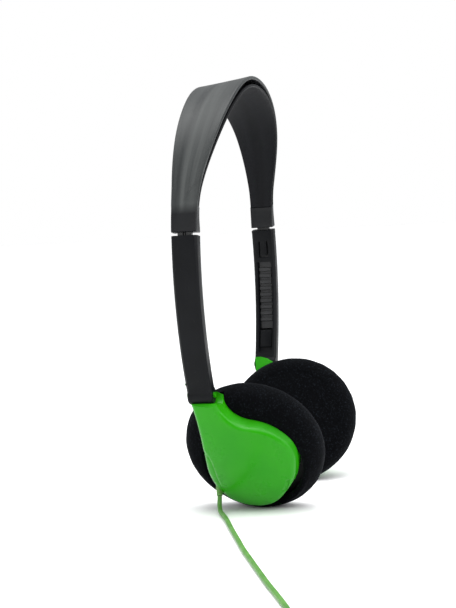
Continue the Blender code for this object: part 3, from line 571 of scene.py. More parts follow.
# %% Cup, arm and band frames
PAD_CENTRE = Vector((-38.9, 0.0, 27.8))
CUP_TILT = math.radians(26.3)
CUP_YAW = math.radians(-4.35)
ear_normal = Vector(
    (
        math.cos(CUP_TILT) * math.cos(CUP_YAW),
        math.cos(CUP_TILT) * math.sin(CUP_YAW),
        math.sin(CUP_TILT),
    )
)
cup_v = (Z_AXIS - ear_normal * ear_normal.z).normalized()
CUP = axes_matrix(PAD_CENTRE, cup_v.cross(-ear_normal), cup_v, -ear_normal)

ARM_TOP = Vector((-67.9, 16.2, 118.0))
ARM_LEAN = math.radians(7.3)
ARM_RADIUS = 125.0
ARM_CENTRE = ARM_TOP + ARM_RADIUS * Vector((math.cos(ARM_LEAN), 0, -math.sin(ARM_LEAN)))


def arm_frame(along):
    angle = ARM_LEAN - along / ARM_RADIUS
    outward = Vector((-math.cos(angle), 0, math.sin(angle)))
    return axes_matrix(ARM_CENTRE + ARM_RADIUS * outward, outward, Y_AXIS, outward.cross(Y_AXIS))


PIVOT_ALONG = 67.25
pivot = arm_frame(PIVOT_ALONG)
PIVOT = axes_matrix(pivot.translation, pivot.col[0].to_3d(), pivot.col[2].to_3d(), -Y_AXIS)

BAND_GAP = 1.3
BAND_STRAIGHT = 8.3
CROWN_Z = 181.6
CROWN_Y = 11.2
BAND_WIDTH_END = 10.8
BAND_WIDTH_CROWN = 24.0
CROWN_CANT = math.radians(7.0)
up_the_arm = Vector((math.sin(ARM_LEAN), 0, math.cos(ARM_LEAN)))
band_base = ARM_TOP + BAND_GAP * up_the_arm
bend_start = band_base + BAND_STRAIGHT * up_the_arm
BAND_RADIUS = -bend_start.x / math.cos(ARM_LEAN)
band_centre_z = bend_start.z - BAND_RADIUS * math.sin(ARM_LEAN)
crown_lift = CROWN_Z - (band_centre_z + BAND_RADIUS)
ARC_LENGTH = BAND_RADIUS * (math.pi / 2 - ARM_LEAN)
HALF_BAND = BAND_STRAIGHT + ARC_LENGTH


def flare_at(z):
    return ease((z - ARM_TOP.z - 5.0) / 57.0)


def band_frame(along):
    """along runs from -HALF_BAND at the left end, through 0 at the crown, to HALF_BAND."""
    climbed = HALF_BAND - abs(along)
    if climbed < BAND_STRAIGHT:
        angle = ARM_LEAN
        centre = band_base + climbed * up_the_arm
    else:
        angle = ARM_LEAN + (climbed - BAND_STRAIGHT) / BAND_RADIUS
        centre = Vector((-BAND_RADIUS * math.cos(angle), 0, band_centre_z + BAND_RADIUS * math.sin(angle)))
    centre.z += crown_lift * ease((climbed - BAND_STRAIGHT) / ARC_LENGTH)
    flare = flare_at(centre.z)
    centre.y = ARM_TOP.y + (CROWN_Y - ARM_TOP.y) * flare
    outward = Vector((-math.cos(angle), 0, math.sin(angle)))
    cant = CROWN_CANT * flare
    normal = outward * math.cos(cant) + Y_AXIS * math.sin(cant)
    across = Y_AXIS * math.cos(cant) - outward * math.sin(cant)
    if along > 0:
        centre.x = -centre.x
        normal.x = -normal.x
        across.x = -across.x
    return axes_matrix(centre, normal, across, normal.cross(across))


WAIST = 0.07


def band_width(along):
    """The band widens towards the crown, and stays a little slimmer in between."""
    climbed = HALF_BAND - abs(along)
    waist = WAIST * ease((climbed - 6.0) / 14.0) * ease((95.0 - climbed) / 45.0)
    width = BAND_WIDTH_END + (BAND_WIDTH_CROWN - BAND_WIDTH_END) * flare_at(band_frame(along).translation.z)
    return width * (1 - waist)


print("half of the band is", round(HALF_BAND, 2), "mm long")

# %% [markdown]
# ## The cord
#
# A thin green cord leaves the near cup through a small strain relief, drops to the table and runs
# off in a lazy line. The rest of its length is wound into a small ring, as it would be for storage.
# The path is one list of points: first the lead's own route, then loops whose radius and height
# change in one short sector, as real turns cross over, and last a turn down the outside to the plug.

# %% Cord route
CORD_RADIUS = 1.0
LEAD_HEIGHT = 1.15
GLAND_AT = Vector((-15.9, -15.4, 10.3))
GLAND_AXIS = Vector((0.1, -0.6, 0.79)).normalized()
GLAND_OUT = 3.0
GLAND_GAP = 0.3
gland_origin = CUP @ GLAND_AT
gland_out = (CUP.to_3x3() @ GLAND_AXIS).normalized()
gland_across = gland_out.cross(Vector((1, 0, 0))).normalized()
GLAND = axes_matrix(gland_origin, gland_across, gland_out.cross(gland_across), gland_out)
LEAD_ROUTE = (
    (-42.6, 15.8, 3.6),
    (-46.4, 14.6, 1.5),
    (-52.5, 11.9, LEAD_HEIGHT),
    (-61.4, 8.0, LEAD_HEIGHT),
    (-79.0, 1.2, LEAD_HEIGHT),
    (-97.0, -5.9, LEAD_HEIGHT),
    (-114.5, -12.8, LEAD_HEIGHT),
    (-130.5, -19.6, LEAD_HEIGHT),
    (-145.5, -26.0, LEAD_HEIGHT),
    (-161.0, -32.7, LEAD_HEIGHT),
    (-174.0, -38.6, LEAD_HEIGHT),
    (-187.5, -44.6, LEAD_HEIGHT),
    (-201.3, -50.3, LEAD_HEIGHT),
    (-212.4, -54.9, LEAD_HEIGHT),
    (-221.6, -58.7, LEAD_HEIGHT),
)
COIL_CENTRE = Vector((-235.1, -49.0, 0.0))
COIL_START = -67.6
CROSSING = 70.0
LAYER = 2.07
RADII = (8.0, 10.07, 12.13, 14.2)
OUTER_TURN = 14.3
LOOP_POINTS = 20
CURVE_STEPS = 16
ROUTE_SPACING = 1.6
PLUG_START = Vector((-249.3, -40.4, 3.6))
PLUG_DIRECTION = Vector((0, 1, 0))


def coil_point(radius, height, angle):
    turn = math.radians(angle)
    return COIL_CENTRE + Vector((radius * math.cos(turn), radius * math.sin(turn), height))


def coil_loops():
    """The (radius, height) of each loop in the order that it is wound."""
    loops = [(RADII[k], LEAD_HEIGHT) for k in (3, 2, 1, 0)]
    loops += [(RADII[k], LEAD_HEIGHT + LAYER) for k in (0, 1, 2)]
    loops += [(RADII[k], LEAD_HEIGHT + 2 * LAYER) for k in (2, 1, 0)]
    loops += [(RADII[k], LEAD_HEIGHT + 3 * LAYER) for k in (0, 1, 2)]
    return loops


def coil_path():
    loops = coil_loops()
    last = (OUTER_TURN, LEAD_HEIGHT + 2.75 * LAYER)
    points = []
    for number, (radius, height) in enumerate(loops):
        following = loops[number + 1] if number + 1 < len(loops) else last
        for step in range(LOOP_POINTS):
            angle = 360.0 * step / LOOP_POINTS
            blend = ease((angle - (360.0 - CROSSING)) / CROSSING)
            r = radius + (following[0] - radius) * blend
            if following[0] == radius:
                bulge = -1.0 if radius == RADII[0] else 0.4
                r += bulge * math.sin(math.pi * blend)
            z = height + (following[1] - height) * blend
            points.append(coil_point(r, z, COIL_START - angle))
    down = last[1] - PLUG_START.z
    sweep = 360.0 + 180.0 + COIL_START
    for step in range(25):
        t = step / 25
        points.append(coil_point(last[0] - 0.1 * t, last[1] - down * ease(t), COIL_START - sweep * t))
    for back in (8.6, 4.0, -3.0):
        points.append(PLUG_START - PLUG_DIRECTION * back)
    return points


def smooth_route(points, spacing):
    """Evenly spaced points on a smooth curve through the route's own points."""
    dense = []
    for i in range(len(points) - 1):
        before = points[max(i - 1, 0)]
        after = points[min(i + 2, len(points) - 1)]
        for step in range(CURVE_STEPS):
            t = step / CURVE_STEPS
            a = points[i] * 2
            b = (points[i + 1] - before) * t
            c = (before * 2 - points[i] * 5 + points[i + 1] * 4 - after) * t * t
            d = (points[i] * 3 - before - points[i + 1] * 3 + after) * t**3
            dense.append((a + b + c + d) / 2)
    dense.append(points[-1])
    lengths = [0.0]
    for near, far in zip(dense, dense[1:]):
        lengths.append(lengths[-1] + (far - near).length)
    count = max(2, round(lengths[-1] / spacing))
    even = []
    i = 0
    for step in range(count + 1):
        target = lengths[-1] * step / count
        while i < len(dense) - 2 and lengths[i + 1] < target:
            i += 1
        span = max(lengths[i + 1] - lengths[i], 1e-9)
        even.append(dense[i].lerp(dense[i + 1], (target - lengths[i]) / span))
    return even


cord_exit = GLAND @ Vector((0, 0, GLAND_OUT + GLAND_GAP))
lead = [cord_exit, GLAND @ Vector((0, 0, GLAND_OUT + GLAND_GAP + 1.2))]
lead += [Vector(point) for point in LEAD_ROUTE]
route = smooth_route(lead + coil_path(), ROUTE_SPACING)

# %% Cord piece
cord_curve = bpy.data.curves.new("cord", "CURVE")
cord_curve.dimensions = "3D"
cord_curve.bevel_depth = CORD_RADIUS * MM
cord_curve.bevel_resolution = 4
cord_curve.use_fill_caps = True
spline = cord_curve.splines.new("POLY")
spline.points.add(len(route) - 1)
for slot_point, point in zip(spline.points, route):
    slot_point.co = (*(point * MM), 1.0)
spline.use_smooth = True
cord_curve.materials.append(green_cord)
cord = bpy.data.objects.new("cord", cord_curve)
scene.collection.objects.link(cord)
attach(cord, "left_cup")
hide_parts("cord_lead", "cord_coil")

# %% [markdown]
# ## Strain reliefs and tie
#
# A cord is protected where it enters something hard. The cup has a small round gland and the plug
# has a long ribbed boot. Both are turned shapes, so a spun outline makes them. The wound length is
# held by a narrow tie: a rounded ring round the turns, bent from a small rectangle.

# %% Gland, boot and tie
TURNED_STEPS = 40
gland = finish_piece(
    "cord_relief",
    spin_profile(
        [(0, -2.2), (1.6, -2.2), (1.6, 0.2), (1.52, 0.4), (1.32, 0.5), (1.32, 0.9), (1.44, 1.05), (1.4, 1.45),
         (1.26, 1.6), (1.26, 2.0), (1.32, 2.15), (1.26, 2.7), (1.12, 2.95), (1.02, 3.05), (0, 3.05)],
        GLAND,
        TURNED_STEPS,
    ),
    green_cord, "left_cup", ["cord_gland"],
)
PLUG = axes_matrix(PLUG_START, Z_AXIS, PLUG_DIRECTION.cross(Z_AXIS), PLUG_DIRECTION)


def ribbed_boot():
    """A taper from the cord's own size, with ribs that let it bend."""
    outline = [(0, 0.0), (1.12, 0.0), (1.32, 0.25)]
    for rib in range(6):
        start = 0.8 + 1.35 * rib
        radius = 1.4 + 0.15 * rib
        outline += [(radius, start), (radius + 0.22, start + 0.12), (radius + 0.24, start + 0.72),
                    (radius - 0.02, start + 0.9), (radius - 0.02, start + 1.2)]
    outline += [(2.45, 9.1), (2.6, 9.5), (2.6, 9.9), (2.4, 10.05), (0, 10.05)]
    return outline


boot = finish_piece(
    "plug_strain_relief", spin_profile(ribbed_boot(), PLUG, TURNED_STEPS), green_cord, "left_cup",
    ["plug_boot"],
)

TIE_ANGLE = math.radians(20.0)
TIE_WIDTH = 3.0
TIE_THICKNESS = 0.45
TIE_CORNER = 1.0
tie_shape = bmesh.new()
tie_outline = []
for corner_r, corner_z, start in ((14.6, 7.9, 0), (7.6, 7.9, 90), (7.6, 1.0, 180), (14.6, 1.0, 270)):
    for step in range(6):
        angle = math.radians(start + 18 * step)
        r = corner_r + TIE_CORNER * math.cos(angle)
        tie_outline.append((r, max(corner_z + TIE_CORNER * math.sin(angle), 0.08)))
tie_face = tie_shape.faces.new([tie_shape.verts.new((r, -TIE_WIDTH / 2, z)) for r, z in tie_outline])
tie_grown = bmesh.ops.extrude_face_region(tie_shape, geom=[tie_face])
tie_moved = [item for item in tie_grown["geom"] if isinstance(item, bmesh.types.BMVert)]
bmesh.ops.translate(tie_shape, vec=(0, TIE_WIDTH, 0), verts=tie_moved)
tie_ends = [face for face in tie_shape.faces if len(face.verts) == len(tie_outline)]
bmesh.ops.delete(tie_shape, geom=tie_ends, context="FACES_ONLY")
bmesh.ops.recalc_face_normals(tie_shape, faces=tie_shape.faces)
bmesh.ops.solidify(tie_shape, geom=tie_shape.faces[:], thickness=-TIE_THICKNESS)
tie_place = Matrix.Translation(COIL_CENTRE) @ Matrix.Rotation(TIE_ANGLE, 4, "Z")
bmesh.ops.transform(tie_shape, matrix=tie_place, verts=tie_shape.verts)
tie = finish_piece("cord_tie", tie_shape, black_satin, "left_cup")

# %% [markdown]
# ## The headband: a cover and a strap
#
# The band is two thin curved strips, one over the other, with a slit of air between them. Each is
# made as the factory's part would look unrolled: a straight bar, cut into many short lengths, with
# its edges rounded. Then every point is carried onto the arc. Before that, the straight position is
# stored as an attribute called strip, so that the finish can run its streaks along the band.

# %% Straight bar and bending


def straight_bar(low, high, half_width, start, end, stations, strips, rounding):
    """X is thickness, Y width and Z length. Planes divide it, then its edges are rounded."""
    shape = bmesh.new()
    bmesh.ops.create_cube(shape, size=1.0)
    bmesh.ops.scale(shape, vec=(high - low, 2 * half_width, end - start), verts=shape.verts)
    bmesh.ops.translate(shape, vec=((low + high) / 2, 0, (start + end) / 2), verts=shape.verts)
    bmesh.ops.bevel(shape, geom=shape.edges[:], offset=rounding, offset_type="OFFSET", segments=4,
                    profile=0.5, affect="EDGES", clamp_overlap=True, material=-1)
    for station in stations:
        bmesh.ops.bisect_plane(shape, geom=shape.verts[:] + shape.edges[:] + shape.faces[:], dist=1e-5,
                               plane_co=(0, 0, station), plane_no=(0, 0, 1))
    for strip in strips:
        bmesh.ops.bisect_plane(shape, geom=shape.verts[:] + shape.edges[:] + shape.faces[:], dist=1e-5,
                               plane_co=(0, strip, 0), plane_no=(0, 1, 0))
    return shape


def carry(shape, place_of):
    """Stores each point's straight place, in metres, then moves it to its bent place."""
    strip_layer = shape.verts.layers.float_vector.new("strip")
    for vert in shape.verts:
        vert[strip_layer] = vert.co * MM
        vert.co = place_of(vert.co.copy())
    return shape


def even_cuts(start, end, count):
    return [start + (end - start) * (step + 1) / (count + 1) for step in range(count)]


print("bar helpers ready")

# %% Headband cover
COVER_LOW = 0.65
COVER_HIGH = 2.15
STRAP_LOW = -1.95
STRAP_HIGH = -0.65
BLOCK_LENGTH = 10.0
NOMINAL_HALF = 8.0
BLOCK_HALF = 3.15
CROWN_RISE = 1.2
RISE_FROM = 60.0
CREASE_LINE = ((9.5, 0.46), (12.3, 0.13), (15.4, -0.13), (18.0, -0.4), (20.5, -0.75), (22.0, -1.0),
               (24.0, -1.35))


def from_table(table, x):
    """Reads a smooth value between the rows of a short table of (x, value)."""
    for (x0, y0), (x1, y1) in zip(table, table[1:]):
        if x <= x1:
            return y0 + (y1 - y0) * min(max((x - x0) / (x1 - x0), 0.0), 1.0)
    return table[-1][1]


def crown_rise(climbed):
    """Both layers stand a little higher over the crown than their plain arc."""
    return CROWN_RISE * ease((climbed - RISE_FROM) / (HALF_BAND - RISE_FROM))


def cover_place(flat):
    along = flat.z
    climbed = HALF_BAND - abs(along)
    side = flat.y / NOMINAL_HALF
    bend = band_frame(along)
    half = band_width(along) / 2
    blend = ease(climbed / BLOCK_LENGTH)
    inner = -BLOCK_HALF * (1 - blend) + STRAP_LOW * blend
    if climbed > BLOCK_LENGTH:
        inner = STRAP_LOW + (COVER_LOW - STRAP_LOW) * ease((climbed - BLOCK_LENGTH) / 1.2)
    outer = BLOCK_HALF * (1 - blend) + COVER_HIGH * blend
    outer += 0.28 * math.exp(-(((climbed - 6.5) / 4.0) ** 2))
    outer += 0.16 * side**4 - 0.05
    line = from_table(CREASE_LINE, climbed)
    if 8.5 < climbed < 26.0 and side < line:
        fade = ease((climbed - 9.0) / 6.0) * ease((26.0 - climbed) / 5.0)
        outer -= fade * (0.32 * ease((line - side) / 0.05) + 0.45 * (line - side))
    t = (flat.x - COVER_LOW) / (COVER_HIGH - COVER_LOW)
    return bend @ Vector((inner + (outer - inner) * t + crown_rise(climbed), side * half, 0))


end_cuts = [HALF_BAND - up_mm for up_mm in even_cuts(0.5, 31.0, 60)]
middle_cuts = even_cuts(-(HALF_BAND - 31.0), HALF_BAND - 31.0, 90)
cover_cuts = sorted(middle_cuts + end_cuts + [-cut for cut in end_cuts])
cover_shape = straight_bar(COVER_LOW, COVER_HIGH, NOMINAL_HALF, -HALF_BAND, HALF_BAND, cover_cuts,
                           even_cuts(-7.4, 7.4, 40), 0.42)
finish_piece(
    "headband_outer_cover", carry(cover_shape, cover_place), band_outer, "headband",
    ["headband_cover"],
)

# %% Darker end blocks, where the painted sheen stops, and painted shade on the cover's inner face
tree = band_outer.node_tree
shader = tree.nodes["Principled BSDF"]
plain = shader.inputs["Base Color"].links[0].from_socket
parts = add_node(tree, "ShaderNodeSeparateXYZ")
strip_place = add_node(tree, "ShaderNodeAttribute", attribute_name="strip")
tree.links.new(strip_place.outputs["Vector"], parts.inputs[0])
from_crown = math_node(tree, "ABSOLUTE", parts.outputs["Z"])
# At the end blocks the grey painted sheen gives way to near black, and the inner face, which looks into the
# slit over the strap, is darkened as painted shade.
at_block = range_node(tree, from_crown, (HALF_BAND - 11.5) * MM, (HALF_BAND - 7.5) * MM)
inside = range_node(tree, parts.outputs["X"], (COVER_LOW + 0.45) * MM, (COVER_LOW + 0.3) * MM)
sheenless_blocks_and_slit_shade = math_node(tree, "MAXIMUM", at_block, inside)
feed(tree, shader.inputs["Base Color"], mix_colours(tree, sheenless_blocks_and_slit_shade, plain, (0.005, 0.0055, 0.0065, 1.0)))
print("the cover darkens at its blocks and inside")

# %% Headband strap
STRAP_REACH = HALF_BAND - BLOCK_LENGTH - 0.2


def strap_place(flat):
    along = flat.z
    climbed = HALF_BAND - abs(along)
    bend = band_frame(along)
    half = band_width(along) / 2 - 0.3
    side = flat.y / NOMINAL_HALF
    sag = 0.65 * ease((climbed - 55.0) / 45.0)
    ridge = 0.18 * math.exp(-((side / 0.35) ** 2)) * ease((climbed - 8.0) / 20.0)
    depth = flat.x - sag
    if flat.x < (STRAP_LOW + STRAP_HIGH) / 2:
        depth += ridge
    return bend @ Vector((depth + crown_rise(climbed), side * half, 0))


strap_shape = straight_bar(STRAP_LOW, STRAP_HIGH, NOMINAL_HALF, -STRAP_REACH, STRAP_REACH,
                           even_cuts(-STRAP_REACH, STRAP_REACH, 150), even_cuts(-7.5, 7.5, 22), 0.38)
finish_piece(
    "headband_inner_strap", carry(strap_shape, strap_place), band_inner, "headband",
    ["headband_strap"],
)

# %% [markdown]
# ## The slider arms
#
# Each arm is a moulded channel with a window, a latch tongue and a stop block, all cut in the CAD.
# Cutting them again would only risk a mismatch. So a copy of the CAD arm is merged, a shallow thumb
# recess is cut in its outer face, and a Bevel modifier gives every sharp edge a small moulded round.

# %% Slider arms
RECESS_SPAN = (6.0, 27.0)
RECESS_HALF = 3.6
RECESS_DEPTH = 0.55
ARM_HALF_THICK = 3.15


def recess_cutter(side):
    """A long lens that sinks into the arm's outer face and ends in a steep curved lip."""
    shape = straight_bar(0.0, 2.0, RECESS_HALF, RECESS_SPAN[0], RECESS_SPAN[1],
                         even_cuts(RECESS_SPAN[0] + 1, RECESS_SPAN[1] - 1, 20), even_cuts(-3.2, 3.2, 12), 0.3)
    for vert in shape.verts:
        along = vert.co.z
        sink = RECESS_DEPTH * ease((along - RECESS_SPAN[0]) / 5.0)
        across = 1.0 - 0.35 * (vert.co.y / RECESS_HALF) ** 2
        base = ARM_HALF_THICK - sink * across
        bowed = along - 1.1 * (vert.co.y / RECESS_HALF) ** 2 * ease((along - 15.0) / 12.0)
        vert.co = arm_frame(bowed) @ Vector((base + vert.co.x, vert.co.y, 0))
    if side > 0:
        mirror_to_right(shape)
    bmesh.ops.recalc_face_normals(shape, faces=shape.faces)
    mesh = bpy.data.meshes.new("recess")
    shape.to_mesh(mesh)
    shape.free()
    cutter = bpy.data.objects.new("recess", mesh)
    scene.collection.objects.link(cutter)
    cutter.matrix_world = Matrix.Scale(MM, 4)
    return cutter


def bake_modifiers(obj):
    """Replaces the object's mesh with its modified one, and removes the modifiers."""
    graph = bpy.context.evaluated_depsgraph_get()
    baked = bpy.data.meshes.new_from_object(obj.evaluated_get(graph))
    obj.modifiers.clear()
    obj.data = baked


def make_arm(side, prefix):
    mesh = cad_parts[f"{prefix}_arm"].data.copy()
    shape = bmesh.new()
    shape.from_mesh(mesh)
    bmesh.ops.remove_doubles(shape, verts=shape.verts, dist=0.000002)
    bmesh.ops.dissolve_degenerate(shape, dist=0.000002, edges=shape.edges)
    bmesh.ops.dissolve_limit(shape, angle_limit=math.radians(0.4), verts=shape.verts, edges=shape.edges)
    mesh = bpy.data.meshes.new(f"{prefix}_slider_arm")
    shape.to_mesh(mesh)
    shape.free()
    mesh.materials.append(black_satin)
    arm = bpy.data.objects.new(f"{prefix}_slider_arm", mesh)
    scene.collection.objects.link(arm)
    cutter = recess_cutter(side)
    sink = arm.modifiers.new("recess", "BOOLEAN")
    sink.operation = "DIFFERENCE"
    sink.object = cutter
    sink.solver = "EXACT"
    bake_modifiers(arm)
    bpy.data.objects.remove(cutter)
    rounding = arm.modifiers.new("rounding", "BEVEL")
    rounding.width = 0.00022
    rounding.segments = 2
    rounding.limit_method = "ANGLE"
    rounding.angle_limit = math.radians(38)
    bake_modifiers(arm)
    arm.data.shade_smooth()
    arm.data.set_sharp_from_angle(angle=math.radians(40))
    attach(arm, f"{prefix}_arm")
    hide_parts(f"{prefix}_arm")
    print(arm.name, "has", len(arm.data.polygons), "faces")
    return arm


for side, prefix in ((-1, "left"), (1, "right")):
    make_arm(side, prefix)

# %% [markdown]
# ## The cup covers
#
# The green cover is a teardrop pillow. Its face swells gently, rolls over a soft shoulder and drops
# as a wall to a skirt that sits on the foam. A sphere or a box can't give that shoulder, so the
# cover grows in rings: one outline is extruded again and again, and every new ring is moved to its
# own outline and height. Inside the shoulder, rings close onto a short spine from the neck to the
# middle of the dome, and the points that meet there are merged.

# %% Teardrop outlines
NECK_TOP = 38.0
LEFT_POINTS = 46
ARC_POINTS = 210
FILLET_POINTS = 44
RIGHT_POINTS = 10
TOP_POINTS = 12


def hump(x, middle, width):
    """A smooth bump of height 1 at its middle."""
    return math.exp(-(((x - middle) / width) ** 2))


def teardrop(centre, radius, neck_left, neck_right, fillet, bow=0.0, egg=0.0):
    """The closed outline of the cover at one level, as (u, v) points in a fixed order.

    egg makes the round end fuller at the upper right and lower left, and slimmer at the lower right."""
    def reach(angle):
        degrees = math.degrees(angle)
        fuller = 2.2 * ease((degrees + 5) / 40) + 0.7 * hump(degrees, -122, 26)
        slimmer = 2.4 * hump(degrees, -38, 30) + 0.8 * hump(degrees, -180, 22)
        return radius + egg * (fuller - slimmer)

    cu, cv = centre
    points = []
    for step in range(LEFT_POINTS):
        t = step / LEFT_POINTS
        u = neck_left + (cu - reach(-math.pi) - neck_left) * t + bow * math.sin(math.pi * t)
        points.append((u, NECK_TOP + (cv - NECK_TOP) * t))
    fillet_u = neck_right + fillet
    fillet_v = cv + math.sqrt((reach(math.pi / 2) + fillet) ** 2 - (fillet_u - cu) ** 2)
    meet = math.atan2(fillet_v - cv, fillet_u - cu)
    for step in range(ARC_POINTS):
        angle = -math.pi + (math.pi + meet) * step / ARC_POINTS
        points.append((cu + reach(angle) * math.cos(angle), cv + reach(angle) * math.sin(angle)))
    for step in range(FILLET_POINTS):
        angle = meet + math.pi + (math.pi - (meet + math.pi)) * step / FILLET_POINTS
        points.append((fillet_u + fillet * math.cos(angle), fillet_v + fillet * math.sin(angle)))
    for step in range(RIGHT_POINTS):
        points.append((neck_right, fillet_v + (NECK_TOP - fillet_v) * step / RIGHT_POINTS))
    for step in range(TOP_POINTS):
        points.append((neck_right + (neck_left - neck_right) * step / TOP_POINTS, NECK_TOP))
    return points


RIM = teardrop((0.5, -4.0), 20.3, -20.0, -8.1, 15.2, bow=1.0, egg=1.0)
SKIRT = teardrop((0.5, -4.0), 20.6, -20.2, -7.8, 15.0, bow=1.1, egg=1.0)
SHOULDER = teardrop((0.5, -4.0), 20.1, -19.7, -8.3, 15.5, bow=1.3, egg=1.0)
print("outlines of", len(RIM), "points")

# %% Cover surface
RIM_LOW = 1.6
RIM_STEP = 1.2
RIM_HIGH = 7.3
SKIRT_HEIGHT = 8.0
FACE_TOP = 17.3
NECK_DROP = 4.3
CROWNING = 0.0128
ROLL_WIDTH = 2.2
ROLL_DEPTH = 1.7
SPINE = (Vector((1.0, -2.0)), Vector((-14.4, 32.0)))
SPINE_STEPS = 36
FACE_RINGS = 41
WALL_THICKNESS = 1.3
INSERT_LINE = ((-17.6, -13.6), (-15.5, -13.55), (-12.5, -13.75), (-8.0, -14.25), (-4.0, -14.5), (0.5, -14.8),
               (3.5, -15.6), (5.5, -16.8), (7.0, -18.6))


def along_spine(point):
    start, end = SPINE
    way = end - start
    return min(max((point - start).dot(way) / way.length_squared, 0.0), 1.0)


def nearest_on_spine(point):
    return SPINE[0].lerp(SPINE[1], along_spine(point))


def snapped_target(point):
    """The spine's point that a ring point closes to: one of a few, so that the closing faces stay wide."""
    return SPINE[0].lerp(SPINE[1], round(along_spine(point) * SPINE_STEPS) / SPINE_STEPS)


def face_height(u, v):
    """The face falls away from the spine on both sides, and along it towards the neck."""
    point = Vector((u, v))
    t = along_spine(point)
    apart = (point - nearest_on_spine(point)).length
    return FACE_TOP - NECK_DROP * ease(t) - CROWNING * apart * apart


def cover_detail(u, v):
    """How far the surface is sunk: the flank insert beside the cord, and a small slot."""
    sunk = 0.0
    if -17.4 < v < 7.0:
        line = from_table(INSERT_LINE, v)
        fade = ease((v + 17.4) / 2.0) * ease((7.0 - v) / 2.0)
        sunk += 0.4 * ease((line - u) / 0.55) * fade
        sunk += 0.6 * math.exp(-(((u - line) / 0.4) ** 2)) * fade
    reach = math.hypot(u - 0.5, v + 4.0)
    angle = math.degrees(math.atan2(v + 4.0, u - 0.5))
    if -38.0 < angle < -12.0:
        fade = ease((angle + 38.0) / 3.0) * ease((-12.0 - angle) / 3.0)
        sunk += 0.5 * fade * ease((reach - 15.7) / 0.4) * ease((17.3 - reach) / 0.4)
    return sunk


def cover_rings():
    """Each ring is a list of (u, v, w) points, from the rim, over the shoulder, to the spine."""
    def blended(first, second, t, w):
        return [(a[0] + (b[0] - a[0]) * t, a[1] + (b[1] - a[1]) * t, w) for a, b in zip(first, second)]

    rings = []
    for t in (0.0, 0.5, 1.0):
        ring = []
        for u, v in RIM:
            raised = RIM_STEP * ease((v - 10.0) / 8.0) * (1 - t)
            ring.append((u, v, RIM_LOW + raised + (RIM_HIGH - RIM_LOW) * t))
        rings.append(ring)
    for t, w in ((0.6, 7.55), (0.93, 7.72), (1.0, SKIRT_HEIGHT)):
        rings.append(blended(RIM, SKIRT, t, w))
    edge = [face_height(*point) - ROLL_DEPTH for point in SHOULDER]
    for step in range(1, 9):
        t = step / 8
        ring = blended(SKIRT, SHOULDER, t**0.8, SKIRT_HEIGHT)
        rings.append([(u, v, w + (top - w) * t) for (u, v, w), top in zip(ring, edge)])
    targets = [snapped_target(Vector(point)) for point in SHOULDER]
    insets = [0.06, 0.16, 0.3, 0.46, 0.65, 0.86, 1.1, 1.35, 1.62, 1.9, 2.2]
    for inset in insets:
        ring = []
        for (u, v), target in zip(SHOULDER, targets):
            start = Vector((u, v))
            place = start + (target - start) * (inset / (target - start).length)
            x = 1 - inset / ROLL_WIDTH
            w = face_height(place.x, place.y) - ROLL_DEPTH * (1 - math.sqrt(max(1 - x * x, 0.0)))
            ring.append((place.x, place.y, w - cover_detail(place.x, place.y)))
        rings.append(ring)
    for step in range(1, FACE_RINGS + 1):
        t = step / FACE_RINGS
        ring = []
        for (u, v), target in zip(SHOULDER, targets):
            start = Vector((u, v))
            first = start + (target - start) * (ROLL_WIDTH / (target - start).length)
            place = first + (target - first) * t
            ring.append((place.x, place.y, face_height(place.x, place.y) - cover_detail(place.x, place.y)))
        rings.append(ring)
    return rings


def inner_rings():
    rings = []
    count = len(RIM)
    for radius, w in ((19.0, 1.6), (19.0, 8.5), (17.8, 11.2), (14.0, 13.4), (8.0, 14.8), (2.0, 15.3)):
        ring = []
        for u, v in RIM:
            way = Vector((u - 0.5, v + 4.0))
            reach = min(radius, way.length - WALL_THICKNESS)
            ring.append((0.5 + way.normalized().x * reach, -4.0 + way.normalized().y * reach, w))
        rings.append(ring)
    print("inner wall of", len(rings), "rings of", count, "points")
    return rings


def grow_rings(shape, loop, rings):
    """Extrudes a closed loop of edges ring by ring, moving each copy to its own points."""
    for ring in rings:
        edges = [shape.edges.get((loop[i - 1], loop[i])) for i in range(len(loop))]
        grown = bmesh.ops.extrude_edge_only(shape, edges=edges)
        new_verts = {v for v in grown["geom"] if isinstance(v, bmesh.types.BMVert)}
        partner = {}
        for vert in loop:
            for edge in vert.link_edges:
                other = edge.other_vert(vert)
                if other in new_verts:
                    partner[vert] = other
        loop = [partner[vert] for vert in loop]
        for vert, place in zip(loop, ring):
            vert.co = place
    return loop


def cover_solid():
    rings = cover_rings()
    shape = bmesh.new()
    first = [shape.verts.new(place) for place in rings[0]]
    for i in range(len(first)):
        shape.edges.new((first[i - 1], first[i]))
    grow_rings(shape, first, rings[1:])
    inner = grow_rings(shape, first, inner_rings())
    shape.faces.new(inner)
    bmesh.ops.remove_doubles(shape, verts=shape.verts, dist=1e-4)
    bmesh.ops.dissolve_degenerate(shape, dist=1e-4, edges=shape.edges)
    bmesh.ops.recalc_face_normals(shape, faces=shape.faces)
    bmesh.ops.transform(shape, matrix=CUP, verts=shape.verts)
    return shape


print("cover helpers ready")

# %% [markdown]
# The neck's top is cut to receive the arm's rounded end. A slanted plane trims the collar, which
# stands higher beside the arm than in front of it. Then one seat cutter clears the arm's width: a
# drum round the pivot and a block above it. The hinge lug goes back in with a union, so the pivot
# pin still has something to hold.

# %% Cup covers
COLLAR_POINT = Vector((-7.7, 32.6, 7.5))
COLLAR_UP = Vector((0.45, 0.78, -0.75)).normalized()
SEAT_RADIUS = 4.2
SEAT_LEFT = 9.0
SEAT_RIGHT = 5.4
LIP_SLOPE = math.radians(23)


def cutter_object(shape):
    bmesh.ops.recalc_face_normals(shape, faces=shape.faces)
    bmesh.ops.scale(shape, vec=(MM, MM, MM), verts=shape.verts)
    mesh = bpy.data.meshes.new("cutter")
    shape.to_mesh(mesh)
    shape.free()
    obj = bpy.data.objects.new("cutter", mesh)
    scene.collection.objects.link(obj)
    return obj


